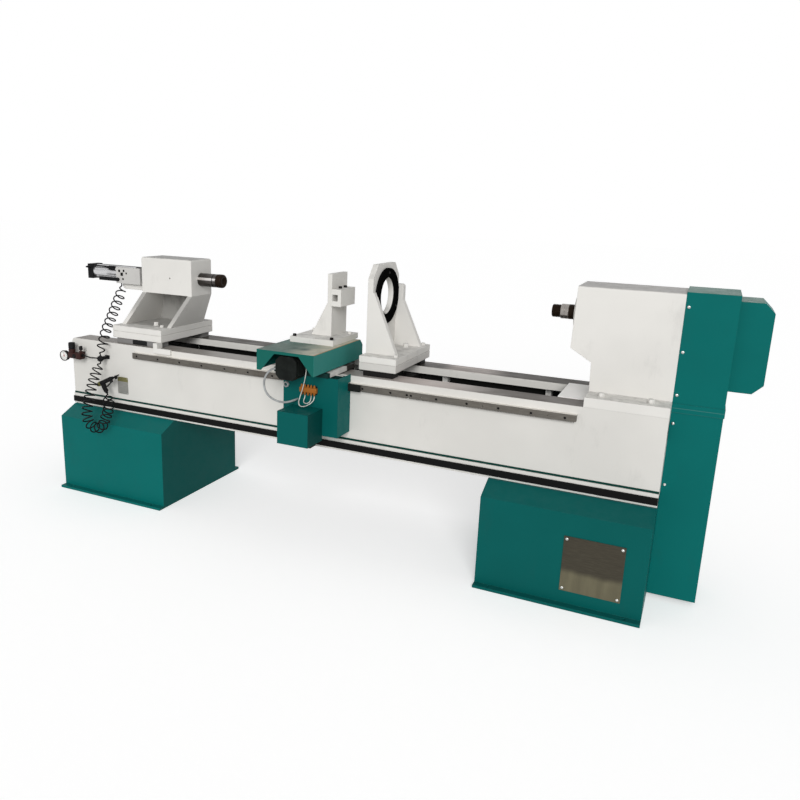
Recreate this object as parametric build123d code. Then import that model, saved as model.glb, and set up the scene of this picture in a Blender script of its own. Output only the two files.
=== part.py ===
from build123d import *
import math
import os

# Lengths in millimetres. While building, x runs from the tail end of the bed to the headstock,
# y from the bed's front face to the rear and z up from the floor.

# Fits and sheet thicknesses
running_gap = 0.05
seat_gap = 0.02
bolt_gap = 0.25
air_gap = 0.5
belt_gap = 0.3
overcut = 1
corner_share = 0.45
sheet = 3
plate_sheet = 5

# Bed
bed_length = 2866
bed_width = 455
bed_bottom = 424
bed_height = 343
bed_top = bed_bottom + bed_height
way_width = 112
way_depth = 34
web_thick = 20
foot_depth = 25
way_bevel = 5
bed_corner = 20
rib_thick = 25
rib_last_inset = 300
rib_first = 451
rib_pitch = 474
rib_middle_drop = 77
rib_gusset = 40
end_plate_thick = 20
flange_under = bed_top - way_depth
foot_top = bed_bottom + foot_depth

# Pedestals
pedestal_width = 640
pedestal_left_x = 12
pedestal_right_x = bed_length - pedestal_width
pedestal_front = -116
pedestal_rear = 501
pedestal_slope_depth = 96
pedestal_slope_drop = 44
pedestal_rear_slope = 44
flange_reach = 32
flange_thick = 12
anchor_radius = 7
anchor_inset = 60
panel_x = bed_length - 193
panel_z = 177
panel_size = 225
panel_screw_span = 203
panel_opening = 180
panel_screw_radius = 3
panel_head_radius = 6
panel_head = 4

# Rack on the front face
rack_module = 2
pressure_angle = math.radians(20)
tooth_root = 1.25
tooth_depth = 2.25
rack_start = 410
rack_joint = 1867
rack_end = bed_length - 321
rack_top = bed_top - 31
rack_tip = bed_top - 61
rack_depth = 20
rack_hole_z = bed_top - 47
rack_screw_first = 436
rack_screw_pitch = 129
rack_screw_count_left = 9
rack_screw_middle = (1656, 1785)
rack_screw_last_left = 1859
rack_screw_first_right = 1877
rack_screw_start_right = 1987
rack_screw_edge = 20
rack_screw_radius = 3
rack_head_radius = 5
rack_head_depth = 6
rack_screw_length = 34
dowel_radius = 2.5
dowel_depth = 8
dowel_spots = (758, 1015, 1723, 1922, 2181, 2439)

# Lower guide rail
rail_low = bed_bottom + 10
rail_high = bed_bottom + 38
rail_depth = 14
lip_depth = 8
upper_lip_top = bed_bottom + 53
strip_top = bed_bottom + 61
strip_depth = 3

# Spindle line and headstock
spindle_y = bed_width / 2
spindle_z = bed_top + 324
head_foot_x = bed_length - 303
head_foot_thick = 38
head_depth = 234
head_front = spindle_y - head_depth / 2
head_rear = head_front + head_depth
head_top = bed_top + 440
head_left_top = bed_length - 382
head_left = bed_length - 389
head_left_low = bed_top + 200
head_waist_x = bed_length - 306
head_waist_z = bed_top + 151
head_round = 8
head_wall = 32
head_side_wall = 25
head_bolt_spots = (bed_length - 248, bed_length - 70)
head_bolt_inset = 45
head_bolt_radius = 8
head_bolt_head = 14
head_bolt_head_height = 16
head_bolt_length = 64
bearing_radius = 55
bearing_width = 26
shaft_radius = 32.5
nose_tip = bed_length - 491
nose_length = 35
nose_radius = 26
nose_shoulder_radius = 29.5
cap_radius = 68
cap_thick = 8
shoulder_gap = 2
bearing_inset = 2
belt_side_gap = 1
spindle_bore = 12
pulley_seat_radius = 30
spindle_tail_radius = 24
spindle_tail_end = bed_length + 239
spindle_nut_radius = 42
spindle_nut_width = 20

# Drive
motor_z = 255
motor_radius = 110
motor_start = bed_length - 306
motor_flange_radius = 130
motor_flange_thick = 15
motor_shaft_radius = 19
motor_shaft_start = bed_length - 176
motor_hole = 45
terminal_box = 80
terminal_height = 30
spindle_pulley_radius = 90
motor_pulley_radius = 60
pulley_start = bed_length + 34
pulley_width = 60
belt_thick = 7
belt_width = 48

# Belt guard
guard_width = 178
guard_right = bed_length + guard_width
guard_front = head_front
guard_rear = head_rear
guard_bottom = 20
guard_seam = bed_top + 16
guard_top = bed_top + 447
guard_hem = 17
guard_hem_reach = 3
guard_spindle_hole = 50
guard_screw_spots = [bed_top + rise for rise in (393, 227, 65, -44, -288)]
guard_screw_inset = 12
guard_screw_radius = 3
guard_head_radius = 6
guard_head = 4
end_cover_depth = 114
end_cover_front = spindle_y - 78
end_cover_rear = guard_rear - 10
end_cover_low = spindle_z - 231
end_cover_top = spindle_z + 99
end_cover_chamfer = 35

# Chip plate
chip_left = bed_length - 418
chip_front = 106
chip_rear = 362
chip_thick = 4

# Data plate, left blank
plate_left = 291
plate_right = 357
plate_low = bed_bottom + 87
plate_high = bed_bottom + 174
plate_thick = 1.5

# Air regulator at the tail end
regulator_y = -40
regulator_x = 35
regulator_low = bed_top - 96
regulator_high = bed_top - 65
regulator_left = 20
regulator_right = 106
regulator_half = 18
bowl_radius = 17
bowl_top = bed_top - 49
knob_radius = 16.5
knob_height = 33
knob_stem_radius = 6
gauge_x = -14
gauge_z = bed_top - 89
gauge_radius = 27
gauge_depth = 22
gauge_rim = 3
gauge_recess = 4
gauge_stem_radius = 6
needle_length = 17
needle_width = 2
needle_thick = 1
needle_hub = 3
needle_pin = 1.5
valve_knob_x = 95
valve_knob_radius = 9
valve_knob_low = bed_top - 41
valve_knob_height = 12
valve_stem_radius = 4
bracket_width = 26
inlet_radius = 6
inlet_depth = 14
inlet_rise = 8
gauge_stem_rise = 4
knob_stem_length = 11
knob_round = 2
small_knob_skirt = 8
needle_pin_length = 5

# Hoses and the blow gun
hose_radius = 3.2
coil_radius = 24
tee_x = 232
tee_y = -50
tee_z = bed_top - 76
tee_half = 15
feed_lead = 24
feed_middle = 58
feed_sag = 5
valve_hose_inset = 25
tail_hose_turns = 12
tail_hose_points = (
    (182, 178, 235),
    (197, 116, 172),
    (215, 54, 108),
    (226, 4, 58),
    (242, -31, 16),
    (243, -51, -28),
)
tail_hose_route = [(x, y, bed_top + rise) for x, y, rise in tail_hose_points]
gun_hose_turns = 22
loop_x = 292
loop_y = -166
loop_z = bed_top - 340
loop_radius = 61
gun_hose_fall = ((222, -84, bed_top - 155), (221, -126, bed_top - 249))
gun_hose_rise = (332, -112, bed_top - 305)
lead_turns = 1.5
steps_per_turn = 48
gun_pin_radius = 3
gun_radius = 11
gun_length = 112
gun_tilt = 26
gun_x = 262
gun_y = -58
gun_z = bed_top - 187
gun_nozzle_radius = 4
gun_nozzle_length = 46
gun_handle_length = 58
gun_handle_width = 24
gun_handle_thick = 16
gun_handle_shift = -18
gun_pin_hole_shift = 22
trigger_length = 50
trigger_width = 8
trigger_thick = 5
trigger_pivot_radius = 2
trigger_ear = 4
trigger_reach = 18
trigger_lean = 18
trigger_room = 4
gun_pin_hole_rise = 3
hook_overhang = 6
hook_washer = 6
hook_washer_radius = 9

# Carriage
saddle_left = 1288
saddle_right = 1548
saddle_front = -130
saddle_rear = 130
saddle_arm_left = 1296
saddle_arm_right = 1504
saddle_arm_rear = 225
saddle_low = bed_top + 6
saddle_thick = 20
saddle_top = saddle_low + saddle_thick
saddle_wall_left = 1340
saddle_wall_right = 1582
saddle_wall_front = -60
saddle_wall_thick = 20
saddle_wall_low = bed_top - 242
pad_width = 84
pad_inset = 8
keeper_gap = 4
keeper_thick = 24
keeper_lip = 24
keeper_lip_thick = 24
keeper_clear = 2
shoe_left = 1340
shoe_right = 1430
shoe_low = bed_bottom + 2
shoe_front = -58
shoe_arm_thick = 20
apron_left = 1330
apron_right = 1592
apron_front = -122
apron_rear = -2
rack_room = 4
wiper_right = 1648
wiper_thick = 9
wiper_gap = 1.5
apron_low = bed_top - 250
box_left = 1375
box_right = 1521
box_front = -250
box_low = bed_top - 270
box_high = bed_top - 129
drive_x = 1448
drive_motor_z = bed_top - 189
drive_motor_half = 43
drive_motor_front = -240
drive_motor_hole = 26
drive_shaft_radius = 8
shaft_inside = 30
drive_motor_room = 2
shoe_room = 2
drive_pulley_radius = 18
drive_pulley_start = -104
drive_pulley_width = 22
pinion_teeth = 20
pinion_width = 16
pinion_inset = 3
pinion_slack = 0.15
pinion_thin = 0.3
pinion_shaft_radius = 10
pinion_pulley_radius = 45
drive_belt_thick = 3
drive_belt_width = 18
lube_left = 1416
lube_right = 1497
lube_low = bed_top - 73
lube_high = bed_top - 36
lube_thick = 15
lube_spots = (1425, 1440, 1455, 1470, 1485)
lube_nipple_radius = 4
lube_nipple_length = 5
oil_radius = 2
oil_y = -130
gland_x = 1345
gland_z = bed_top - 45
gland_radius = 13
gland_hole = 7
gland_length = 9
conduit_radius = 4.5
conduit_y = -175
conduit_lead = 28
conduit_start_rise = 33
conduit_end_rise = -103
conduit_route = (
    (1292, -178, 19),
    (1272, -182, -13),
    (1270, -186, -53),
    (1290, -188, -87),
    (1328, -186, -107),
    (1370, -178, -112),
    (1400, -152, conduit_end_rise),
)
oil_nipple_x = 1457
oil_nipple_y = -112
oil_nipple_radius = 5
oil_nipple_height = 10
oil_feed_route = (
    (1457, -112, 52),
    (1457, -131, 68),
    (1457, -150, 52),
    (1457, -156, 18),
    (1449, -154, -17),
    (1438, -150, -52),
    (1427, -150, -84),
    (1423, -155, -104),
    (1431, -165, -117),
    (1448, -169, -121),
    (1467, -164, -115),
    (1481, -148, -104),
    (1485, -130, -92),
)
inner_side = ((0, 0, 0), (0, 0, -10), (-1, -10, -22), (6, -20, -31))

# Cross slide
cross_x = 1400
cross_z = bed_top + 49
cross_motor_half = 50
cross_motor_corner = 20
cross_motor_length = 95
cross_bracket_half = 46
cross_bracket_thick = 12
cross_bracket_top = bed_top + 99
cross_screw_radius = 8
cross_screw_end = 212
cross_nut_half = 20
cross_nut_start = 60
cross_nut_length = 40
cross_rail_spots = (1320, 1484)
cross_rail_width = 20
cross_rail_height = 19
cross_block_half = 18
cross_block_low = bed_top + 30
cross_block_starts = (35, 120)
cross_block_length = 60
cross_plate_low = bed_top + 101
cross_plate_front = -110
cross_plate_rear = 198
end_block_width = 44
end_block_height = 44
end_block_thick = 12
end_block_inset = 8
cover_left = 1267
cover_right = 1537
cover_front = -236
cover_rear = 230
cover_low = bed_top + 32
cover_top = bed_top + 119
cover_sheet = 4
cover_chamfer = 26
cover_rear_low = bed_top + 78
cover_cut_left = 1286
cover_cut_right = 1529
cover_cut_top_left = 1351
cover_cut_top_right = 1465
cover_cut_top = bed_top + 107
post_left = 1298
post_right = 1510
post_front = -15
post_rear = 235
post_thick = 25
column_left = 1429
column_right = 1450
column_front = 83
column_rear = 232
column_top = bed_top + 416
column_hole_spots = (125, 203)
column_hole_z = bed_top + 389
column_hole_radius = 2.5
column_hole_depth = 12
post_gusset_left = 1352
post_gusset_top = bed_top + 290
post_gusset_thick = 20
post_bolt_inset = 15
post_bolt_radius = 5
post_bolt_head = 8
post_bolt_head_height = 10
post_bolt_length = 38
block_right = 1498
block_front = 75
block_rear = 222
block_low = bed_top + 277
block_top = bed_top + 352
block_round = 8
slot_left = 1456
slot_width = 26
slot_low = bed_top + 300
slot_height = 28
block_screw_x = 1469
block_screw_spots = (125, 175)
block_screw_radius = 5
block_screw_head = 8
block_screw_head_height = 9
block_screw_length = 26

# Slide bases shared by the tailstock and the steady rest
base_front = 19
base_rear = bed_width - base_front
base_lower_low = bed_top + 26
base_split = bed_top + 59
base_top = bed_top + 88
base_edge = 2
base_pad_inset = 16
base_pad_width = 62
base_pad_front = 30
clamp_front = 66
clamp_thick = 34
clamp_drop = 3
clamp_bolt_radius = 8
clamp_bolt_head = 14
clamp_bolt_head_height = 18
base_bolt_radius = 6
base_bolt_head = 11
base_bolt_head_height = 12
base_bolt_length = 44

# Tailstock
tail_left = 258
tail_right = 559
tail_head_left = 346
tail_head_right = 650
tail_head_depth = 161
tail_head_front = spindle_y - tail_head_depth / 2
tail_head_low = bed_top + 247
tail_head_top = bed_top + 422
tail_head_round = 9
tail_wall = 25
tail_left_foot = 275
tail_left_foot_front = 68
tail_right_foot = 532
tail_right_foot_front = 96
tail_foot_rear = bed_width - 93
tail_clamp_left = 340
tail_clamp_right = 500
tail_clamp_bolt_x = 445
tail_clamp_bolt_ys = (124, 300)
tail_base_bolt_spots = ((505, 93), (505, 397), (345, 397))
tail_bracket_leg = 26
tail_bracket_grip = 10
tail_bracket_right = 635
tail_bracket_front = -11
tail_bracket_low = bed_top - 21
tail_bracket_high = bed_top + 5
tail_bracket_gap = 1
quill_radius = 32.5
quill_start = 360
quill_neck = 731
quill_pin_radius = 12
quill_pin_depth = 40
nose_sleeve_radius = 33
nose_sleeve_start = 734
nose_sleeve_end = 783
nose_sleeve_round = 8
sight_hole_x = 519
sight_hole_z = spindle_z + 2
sight_hole_radius = 4
sight_hole_depth = 20
cylinder_left = -53
cylinder_cap = 32
cylinder_front_cap = 272
cylinder_half = 37.5
barrel_radius = 34
barrel_bore = 30
piston_start = -12
piston_length = 30
rod_radius = 10
tie_rod_radius = 4
tie_rod_offset = 30
valve_left = 155
valve_right = 310
valve_depth = 18
valve_front = spindle_y - cylinder_half - valve_depth
valve_low = spindle_z - 48
valve_high = spindle_z + 34
valve_port_spots = ((176, 15, 13), (192, -1, 17), (205, 17, 11), (222, 5, 9), (199, -25, 10))
valve_port_depth = 6
air_tube_radius = 3
air_tube_rise = 21
air_nut_radius = 6
air_nut_length = 8
air_nut_x = cylinder_left + cylinder_cap / 2
air_tube_route = (
    (126, 181, 21),
    (85, 176, 31),
    (35, 164, 34),
    (-10, 150, 30),
    (-31, 154, 25),
    (-37, 167, 21),
)
lever_start = 47
lever_pivot_x = 168
lever_z = spindle_z - 29
lever_half = 9
lever_thick = 8
lever_pin_radius = 4
lever_pin_length = 11
arm_start = 178
arm_half = 34.5
arm_front = spindle_y - arm_half
arm_rear = spindle_y + arm_half

# Steady rest
steady_left = 1619
steady_right = 1789
frame_thick = 25
frame_inset = 1
frame_gusset_tip = 4
frame_gusset_corner = 8
frame_front = 85
frame_rear = bed_width - frame_front
frame_top = bed_top + 465
frame_chamfer_side = 48
frame_chamfer_drop = 58
frame_front_gusset_top = bed_top + 350
frame_front_gusset_reach = 1762
frame_rear_gusset_top = bed_top + 367
frame_rear_gusset_side = 1680
frame_rear_gusset_knee = bed_top + 295
frame_rear_gusset_reach = 1775
ring_outer = 122
ring_inner = 82
ring_spigot = 112
ring_proud = 11
ring_screw_circle = 102
ring_screw_angles = (90, 210, 330)
ring_screw_radius = 3
ring_head_radius = 5.5
ring_head = 4
ring_screw_length = 16
steady_clamp_left = 1670
steady_clamp_right = 1770
steady_clamp_bolt_x = 1720
steady_clamp_bolt_ys = (150, 305)
steady_base_bolt_spots = ((1770, 60), (1770, 395))

nodes = {}
cord_names = ("tail_hose", "gun_hose", "gun_body", "gun_trigger", "cylinder_tube")


def keep(name, *shapes):
    solids = [solid for shape in shapes for solid in shape.solids()]
    nodes[name] = Compound(solids) if len(solids) > 1 else solids[0]


def block(x0, x1, y0, y1, z0, z1):
    return Pos((x0 + x1) / 2, (y0 + y1) / 2, (z0 + z1) / 2) * Box(x1 - x0, y1 - y0, z1 - z0)


def rod_x(x0, x1, y, z, radius):
    return Pos((x0 + x1) / 2, y, z) * Rot(0, 90, 0) * Cylinder(radius, x1 - x0)


def rod_y(y0, y1, x, z, radius):
    return Pos(x, (y0 + y1) / 2, z) * Rot(90, 0, 0) * Cylinder(radius, y1 - y0)


def rod_z(z0, z1, x, y, radius):
    return Pos(x, y, (z0 + z1) / 2) * Cylinder(radius, z1 - z0)


def prism_x(points, x0, x1):
    plane = Plane(origin=(x0, 0, 0), x_dir=(0, 1, 0), z_dir=(1, 0, 0))
    return extrude(plane * make_face(Polyline(*points, close=True)), x1 - x0)


def prism_y(points, y0, y1):
    plane = Plane(origin=(0, y1, 0), x_dir=(1, 0, 0), z_dir=(0, -1, 0))
    return extrude(plane * make_face(Polyline(*points, close=True)), y1 - y0)


def prism_z(points, z0, z1):
    return extrude(Pos(0, 0, z0) * make_face(Polyline(*points, close=True)), z1 - z0)


def leaning_wall(low_z, low, high_z, high):
    def corners(rect, z):
        x0, x1, y0, y1 = rect
        return [(x0, y0, z), (x1, y0, z), (x1, y1, z), (x0, y1, z)]

    a = corners(low, low_z)
    b = corners(high, high_z)
    loops = [a, b] + [[a[i], a[(i + 1) % 4], b[(i + 1) % 4], b[i]] for i in range(4)]
    return Solid(Shell([Face(Wire.make_polygon(loop, close=True)) for loop in loops]))


def ring_x(x0, x1, y, z, outer, inner):
    return rod_x(x0, x1, y, z, outer) - rod_x(x0, x1, y, z, inner)


def belt_loop(centre_a, radius_a, centre_b, radius_b, thick):
    def hull(extra):
        circles = Pos(*centre_a) * Circle(radius_a + extra) + Pos(*centre_b) * Circle(radius_b + extra)
        return make_hull(circles.edges())

    return hull(belt_gap + thick) - hull(belt_gap)


def corner_radii(points):
    radii = []
    for before, here, after in zip(points, points[1:], points[2:]):
        run_in = Vector(*here) - Vector(*before)
        run_out = Vector(*after) - Vector(*here)
        half_turn = math.radians(run_in.get_angle(run_out)) / 2
        radii.append(corner_share * min(run_in.length, run_out.length) / math.tan(half_turn))
    return radii


def tube(name, points, radius):
    radii = corner_radii(points)
    path = FilletPolyline(*points, radius=radii)
    shape = sweep(Plane(origin=points[0], z_dir=path % 0) * Circle(radius), path=path)
    share = shape.volume / (math.pi * radius**2 * path.length)
    print(
        name, "bend radii", [round(r, 1) for r in radii], "volume over section times length",
        round(share, 3)
    )
    return shape


def arc_from(start, tangent, end):
    chord = end - start
    side = chord - tangent * chord.dot(tangent)
    if side.length < 1e-6 * chord.length:
        return Line(start, end), math.inf
    inward = side.normalized()
    radius = chord.dot(chord) / (2 * chord.dot(inward))
    centre = start + inward * radius
    middle = centre + ((start + end) * 0.5 - centre).normalized() * radius
    return ThreePointArc(start, middle, end), radius


def biarc(start, start_tangent, end, end_tangent):
    span = end - start
    total = start_tangent + end_tangent
    bend = 2 * (1 - start_tangent.dot(end_tangent))
    reach = span.dot(total)
    if bend < 1e-9:
        size = span.dot(span) / (2 * reach)
    else:
        size = (math.sqrt(reach * reach + bend * span.dot(span)) - reach) / bend
    joint = (start + start_tangent * size + end - end_tangent * size) * 0.5
    first, first_radius = arc_from(start, start_tangent, joint)
    second, second_radius = arc_from(end, end_tangent * -1, joint)
    return [first, second], min(first_radius, second_radius)


def coil(name, start, start_way, via, end, end_way, turns):
    lead = 2 * hose_radius
    first = Vector(*start) + Vector(*start_way).normalized() * lead
    last = Vector(*end) - Vector(*end_way).normalized() * lead
    axis = Spline(first, *[Vector(*p) for p in via], last, tangents=(Vector(*start_way), Vector(*end_way)))
    steps = turns * steps_per_turn
    sides = []
    side = Vector(0, 1, 0)
    for i in range(steps + 1):
        along = axis % (i / steps)
        side = (side - along * side.dot(along)).normalized()
        sides.append(side)
    half_lead = lead_turns / turns

    def place(share):
        share = min(max(share, 0.0), 1.0)
        spot = share * steps
        low = min(int(spot), steps - 1)
        blend = spot - low
        along = axis % share
        across = sides[low] * (1 - blend) + sides[low + 1] * blend
        across = (across - along * across.dot(along)).normalized()
        other = along.cross(across)
        grow = min(1.0, share / half_lead, (1 - share) / half_lead)
        grow = grow * grow * (3 - 2 * grow)
        angle = 2 * math.pi * turns * share
        return (axis @ share) + (across * math.cos(angle) + other * math.sin(angle)) * (coil_radius * grow)

    def heading(share):
        small = 1e-4 / turns
        return (place(share + small) - place(share - small)).normalized()

    count = turns * 4
    spots = [place(i / count) for i in range(count + 1)]
    ways = [heading(i / count) for i in range(count + 1)]
    ways[0] = Vector(*start_way).normalized()
    ways[-1] = Vector(*end_way).normalized()
    edges = [Line(Vector(*start), first)]
    tightest = math.inf
    for i in range(count):
        arcs, radius = biarc(spots[i], ways[i], spots[i + 1], ways[i + 1])
        edges += arcs
        tightest = min(tightest, radius)
    edges.append(Line(last, Vector(*end)))
    path = Wire(edges)
    shape = sweep(Plane(origin=start, z_dir=start_way) * Circle(hose_radius), path=path)
    samples = [place(i / steps) for i in range(steps + 1)]
    apart = min(
        (samples[i] - samples[j]).length
        for i in range(steps + 1)
        for j in range(i + steps_per_turn // 2, steps + 1)
    )
    share = shape.volume / (math.pi * hose_radius**2 * path.length)
    print(name, "turns", turns, "least self gap", round(apart - 2 * hose_radius, 2),
          "tightest bend", round(tightest, 1), "length", round(path.length),
          "volume over section times length", round(share, 3))
    return shape


def gear_outline(teeth, module, thin):
    pitch_radius = teeth * module / 2
    base_radius = pitch_radius * math.cos(pressure_angle)
    root_radius = pitch_radius - tooth_root * module
    tip_radius = pitch_radius + module
    half_at_pitch = (math.pi * module / 2 - thin) / (2 * pitch_radius)
    flat = math.tan(pressure_angle) - pressure_angle
    levels = [base_radius + (tip_radius - base_radius) * i / 4 for i in range(5)]

    def half_angle(radius):
        pressure = math.acos(min(1.0, base_radius / radius))
        return half_at_pitch + flat - (math.tan(pressure) - pressure)

    points = []
    for tooth in range(teeth):
        middle = 2 * math.pi * (tooth + 0.5) / teeth + math.pi / 2
        rising = [(root_radius, -half_angle(base_radius))] + [(r, -half_angle(r)) for r in levels]
        falling = [(r, half_angle(r)) for r in reversed(levels)] + [(root_radius, half_angle(base_radius))]
        for radius, angle in rising + falling:
            points.append((radius * math.cos(middle + angle), radius * math.sin(middle + angle)))
    return points


# Pedestals
def pedestal(left):
    right = left + pedestal_width
    front_shoulder = pedestal_front + pedestal_slope_depth
    rear_shoulder = pedestal_rear - pedestal_rear_slope
    outer = [
        (pedestal_front, 0),
        (pedestal_rear, 0),
        (pedestal_rear, bed_bottom - pedestal_rear_slope),
        (rear_shoulder, bed_bottom),
        (front_shoulder, bed_bottom),
        (pedestal_front, bed_bottom - pedestal_slope_drop),
    ]
    inner = [
        (pedestal_front + plate_sheet, -1),
        (pedestal_rear - plate_sheet, -1),
        (pedestal_rear - plate_sheet, bed_bottom - pedestal_rear_slope - plate_sheet),
        (rear_shoulder - plate_sheet, bed_bottom - plate_sheet),
        (front_shoulder + plate_sheet, bed_bottom - plate_sheet),
        (pedestal_front + plate_sheet, bed_bottom - pedestal_slope_drop - plate_sheet),
    ]
    shape = prism_x(outer, left, right) - prism_x(inner, left + plate_sheet, right - plate_sheet)
    for y in (pedestal_front - flange_reach, pedestal_rear):
        shape += block(left, right, y, y + flange_reach, 0, flange_thick)
        for x in (left + anchor_inset, right - anchor_inset):
            shape -= rod_z(-overcut, flange_thick + overcut, x, y + flange_reach / 2, anchor_radius)
    return shape


half = panel_screw_span / 2
panel_spots = [(panel_x + i * half, panel_z + j * half) for i in (-1, 1) for j in (-1, 1)]
keep("pedestal_left", pedestal(pedestal_left_x))
right_pedestal = pedestal(pedestal_right_x)
half = panel_opening / 2
right_pedestal -= block(
    panel_x - half, panel_x + half, pedestal_front - overcut, pedestal_front + plate_sheet + overcut,
    panel_z - half, panel_z + half
)
for x, z in panel_spots:
    right_pedestal -= rod_y(
        pedestal_front - overcut, pedestal_front + plate_sheet + overcut, x, z,
        panel_screw_radius + bolt_gap
    )
right_pedestal -= rod_x(
    bed_length - plate_sheet - overcut, bed_length + overcut, spindle_y, motor_z, motor_hole,
)
keep("pedestal_right", right_pedestal)
half = panel_size / 2
panel = block(
    panel_x - half, panel_x + half, pedestal_front - sheet, pedestal_front, panel_z - half, panel_z + half
)
panel_screws = Part()
for x, z in panel_spots:
    panel -= rod_y(
        pedestal_front - sheet - overcut, pedestal_front + overcut, x, z, panel_screw_radius + bolt_gap,
    )
    head_face = pedestal_front - sheet
    panel_screws += rod_y(head_face - panel_head, head_face, x, z, panel_head_radius) + rod_y(
        head_face, pedestal_front + plate_sheet, x, z, panel_screw_radius
    )
keep("access_panel", panel)

# Bed beams, ribs and end plates
rack_screw_spots = [rack_screw_first + i * rack_screw_pitch for i in range(rack_screw_count_left)]
rack_screw_spots += [*rack_screw_middle, rack_screw_last_left, rack_screw_first_right]
right_span = rack_end - rack_screw_edge - rack_screw_start_right
rack_screw_spots += [
    rack_screw_start_right + i * rack_screw_pitch for i in range(int(right_span / rack_screw_pitch) + 1)
]
beam_outline = [
    (0, bed_bottom),
    (way_width, bed_bottom),
    (way_width, foot_top),
    (web_thick, foot_top),
    (web_thick, flange_under),
    (way_width, flange_under),
    (way_width, bed_top - way_bevel),
    (way_width - way_bevel, bed_top),
    (0, bed_top),
]
beam = prism_x(beam_outline, 0, bed_length)
end_edges = beam.edges().filter_by(Axis.Y).group_by(Axis.Z)[-1].group_by(Axis.X)[0]
beam = fillet(end_edges, bed_corner)
rear_beam = Pos(0, bed_width, 0) * mirror(beam, about=Plane.XZ)
head_bolt_ys = (head_bolt_inset, bed_width - head_bolt_inset)
head_bolt_seat = bed_top + head_foot_thick
head_bolt_low = head_bolt_seat - head_bolt_length
for x in head_bolt_spots:
    beam -= rod_z(
        head_bolt_low - overcut, bed_top + overcut, x, head_bolt_ys[0], head_bolt_radius + bolt_gap,
    )
    rear_beam -= rod_z(
        head_bolt_low - overcut, bed_top + overcut, x, head_bolt_ys[1], head_bolt_radius + bolt_gap,
    )
for x in rack_screw_spots:
    beam -= rod_y(-overcut, web_thick + overcut, x, rack_hole_z, rack_screw_radius + bolt_gap)
keep("bed_rear", rear_beam)
rib_middle = flange_under - rib_middle_drop
inner_rear = bed_width - web_thick
rib_outline = [
    (web_thick, foot_top),
    (inner_rear, foot_top),
    (inner_rear, flange_under),
    (inner_rear - rib_gusset, flange_under),
    (inner_rear - rib_gusset, rib_middle),
    (web_thick + rib_gusset, rib_middle),
    (web_thick + rib_gusset, flange_under),
    (web_thick, flange_under),
]
ribs = Part()
for i in range(int((bed_length - rib_first - rib_last_inset) / rib_pitch) + 1):
    x = rib_first + i * rib_pitch
    ribs += prism_x(rib_outline, x, x + rib_thick)
ends = Part()
for x in (0, bed_length - end_plate_thick):
    ends += prism_x(rib_outline, x, x + end_plate_thick)
keep("bed_ribs", ribs, ends)

# Rack lengths and their screws
rack_pitch = math.pi * rack_module
rack_root = rack_tip + tooth_depth * rack_module
slope = math.tan(pressure_angle)


def rack_length(left, right):
    points = [(left, rack_top), (right, rack_top), (right, rack_root)]
    first = math.ceil((left - rack_start) / rack_pitch)
    last = math.floor((right - rack_start) / rack_pitch) - 1
    root_half = rack_pitch / 4 + tooth_root * rack_module * slope
    tip_half = rack_pitch / 4 - rack_module * slope
    for k in range(last, first - 1, -1):
        middle = rack_start + (k + 0.5) * rack_pitch
        points += [
            (middle + root_half, rack_root),
            (middle + tip_half, rack_tip),
            (middle - tip_half, rack_tip),
            (middle - root_half, rack_root),
        ]
    points.append((left, rack_root))
    shape = prism_y(points, -rack_depth, 0)
    for x in rack_screw_spots:
        if left < x < right:
            shape -= rod_y(-rack_depth - overcut, 1, x, rack_hole_z, rack_screw_radius + bolt_gap)
            shape -= rod_y(
                -rack_depth - overcut, -rack_depth + rack_head_depth + overcut, x, rack_hole_z,
                rack_head_radius + bolt_gap
            )
    for x in dowel_spots:
        if left < x < right:
            shape -= rod_y(-rack_depth - overcut, -rack_depth + dowel_depth, x, rack_hole_z, dowel_radius)
    return shape


keep("rack", rack_length(rack_start, rack_joint), rack_length(rack_joint, rack_end))
rack_screws = Part()
for x in rack_screw_spots:
    seat = -rack_depth + rack_head_depth + overcut
    rack_screws += rod_y(seat - rack_head_depth, seat, x, rack_hole_z, rack_head_radius)
    rack_screws += rod_y(seat, -rack_depth + rack_screw_length, x, rack_hole_z, rack_screw_radius)

# Lower guide rail with its lips and strip
lips = block(0, bed_length, -lip_depth, 0, rail_high, upper_lip_top)
lips += block(0, bed_length, -lip_depth, 0, bed_bottom, rail_low)
keep("bed_front", beam, lips)
keep(
    "guide_rail",
    block(0, bed_length, -rail_depth, 0, rail_low, rail_high),
    block(0, bed_length, -strip_depth, 0, upper_lip_top, strip_top),
)

# Headstock
foot_top_z = bed_top + head_foot_thick
head_outline = [
    (head_left_top, head_top),
    (head_left, head_left_low),
    (head_waist_x, head_waist_z),
    (head_foot_x, foot_top_z),
    (bed_length, foot_top_z),
    (bed_length, head_top),
]
head_body = prism_y(head_outline, head_front, head_rear)
head_body = fillet(head_body.edges().filter_by(Axis.X).group_by(Axis.Z)[-1], head_round)
headstock = head_body + block(head_foot_x, bed_length, 0, bed_width, bed_top, foot_top_z)
headstock -= block(
    head_waist_x + head_wall,
    bed_length - head_wall,
    head_front + head_side_wall,
    head_rear - head_side_wall,
    foot_top_z + head_side_wall,
    head_top - head_side_wall,
)
headstock -= rod_x(head_left - overcut, bed_length + overcut, spindle_y, spindle_z, bearing_radius)
foot_bolts = Part()
for x in head_bolt_spots:
    for y in head_bolt_ys:
        headstock -= rod_z(bed_top - overcut, head_bolt_seat + overcut, x, y, head_bolt_radius + bolt_gap)
        foot_bolts += rod_z(head_bolt_seat, head_bolt_seat + head_bolt_head_height, x, y, head_bolt_head)
        foot_bolts += rod_z(head_bolt_low, head_bolt_seat, x, y, head_bolt_radius)
keep("headstock", headstock)
front_bearing = head_left_top + bearing_inset
rear_bearing = bed_length - bearing_width
bearings = Part()
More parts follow.
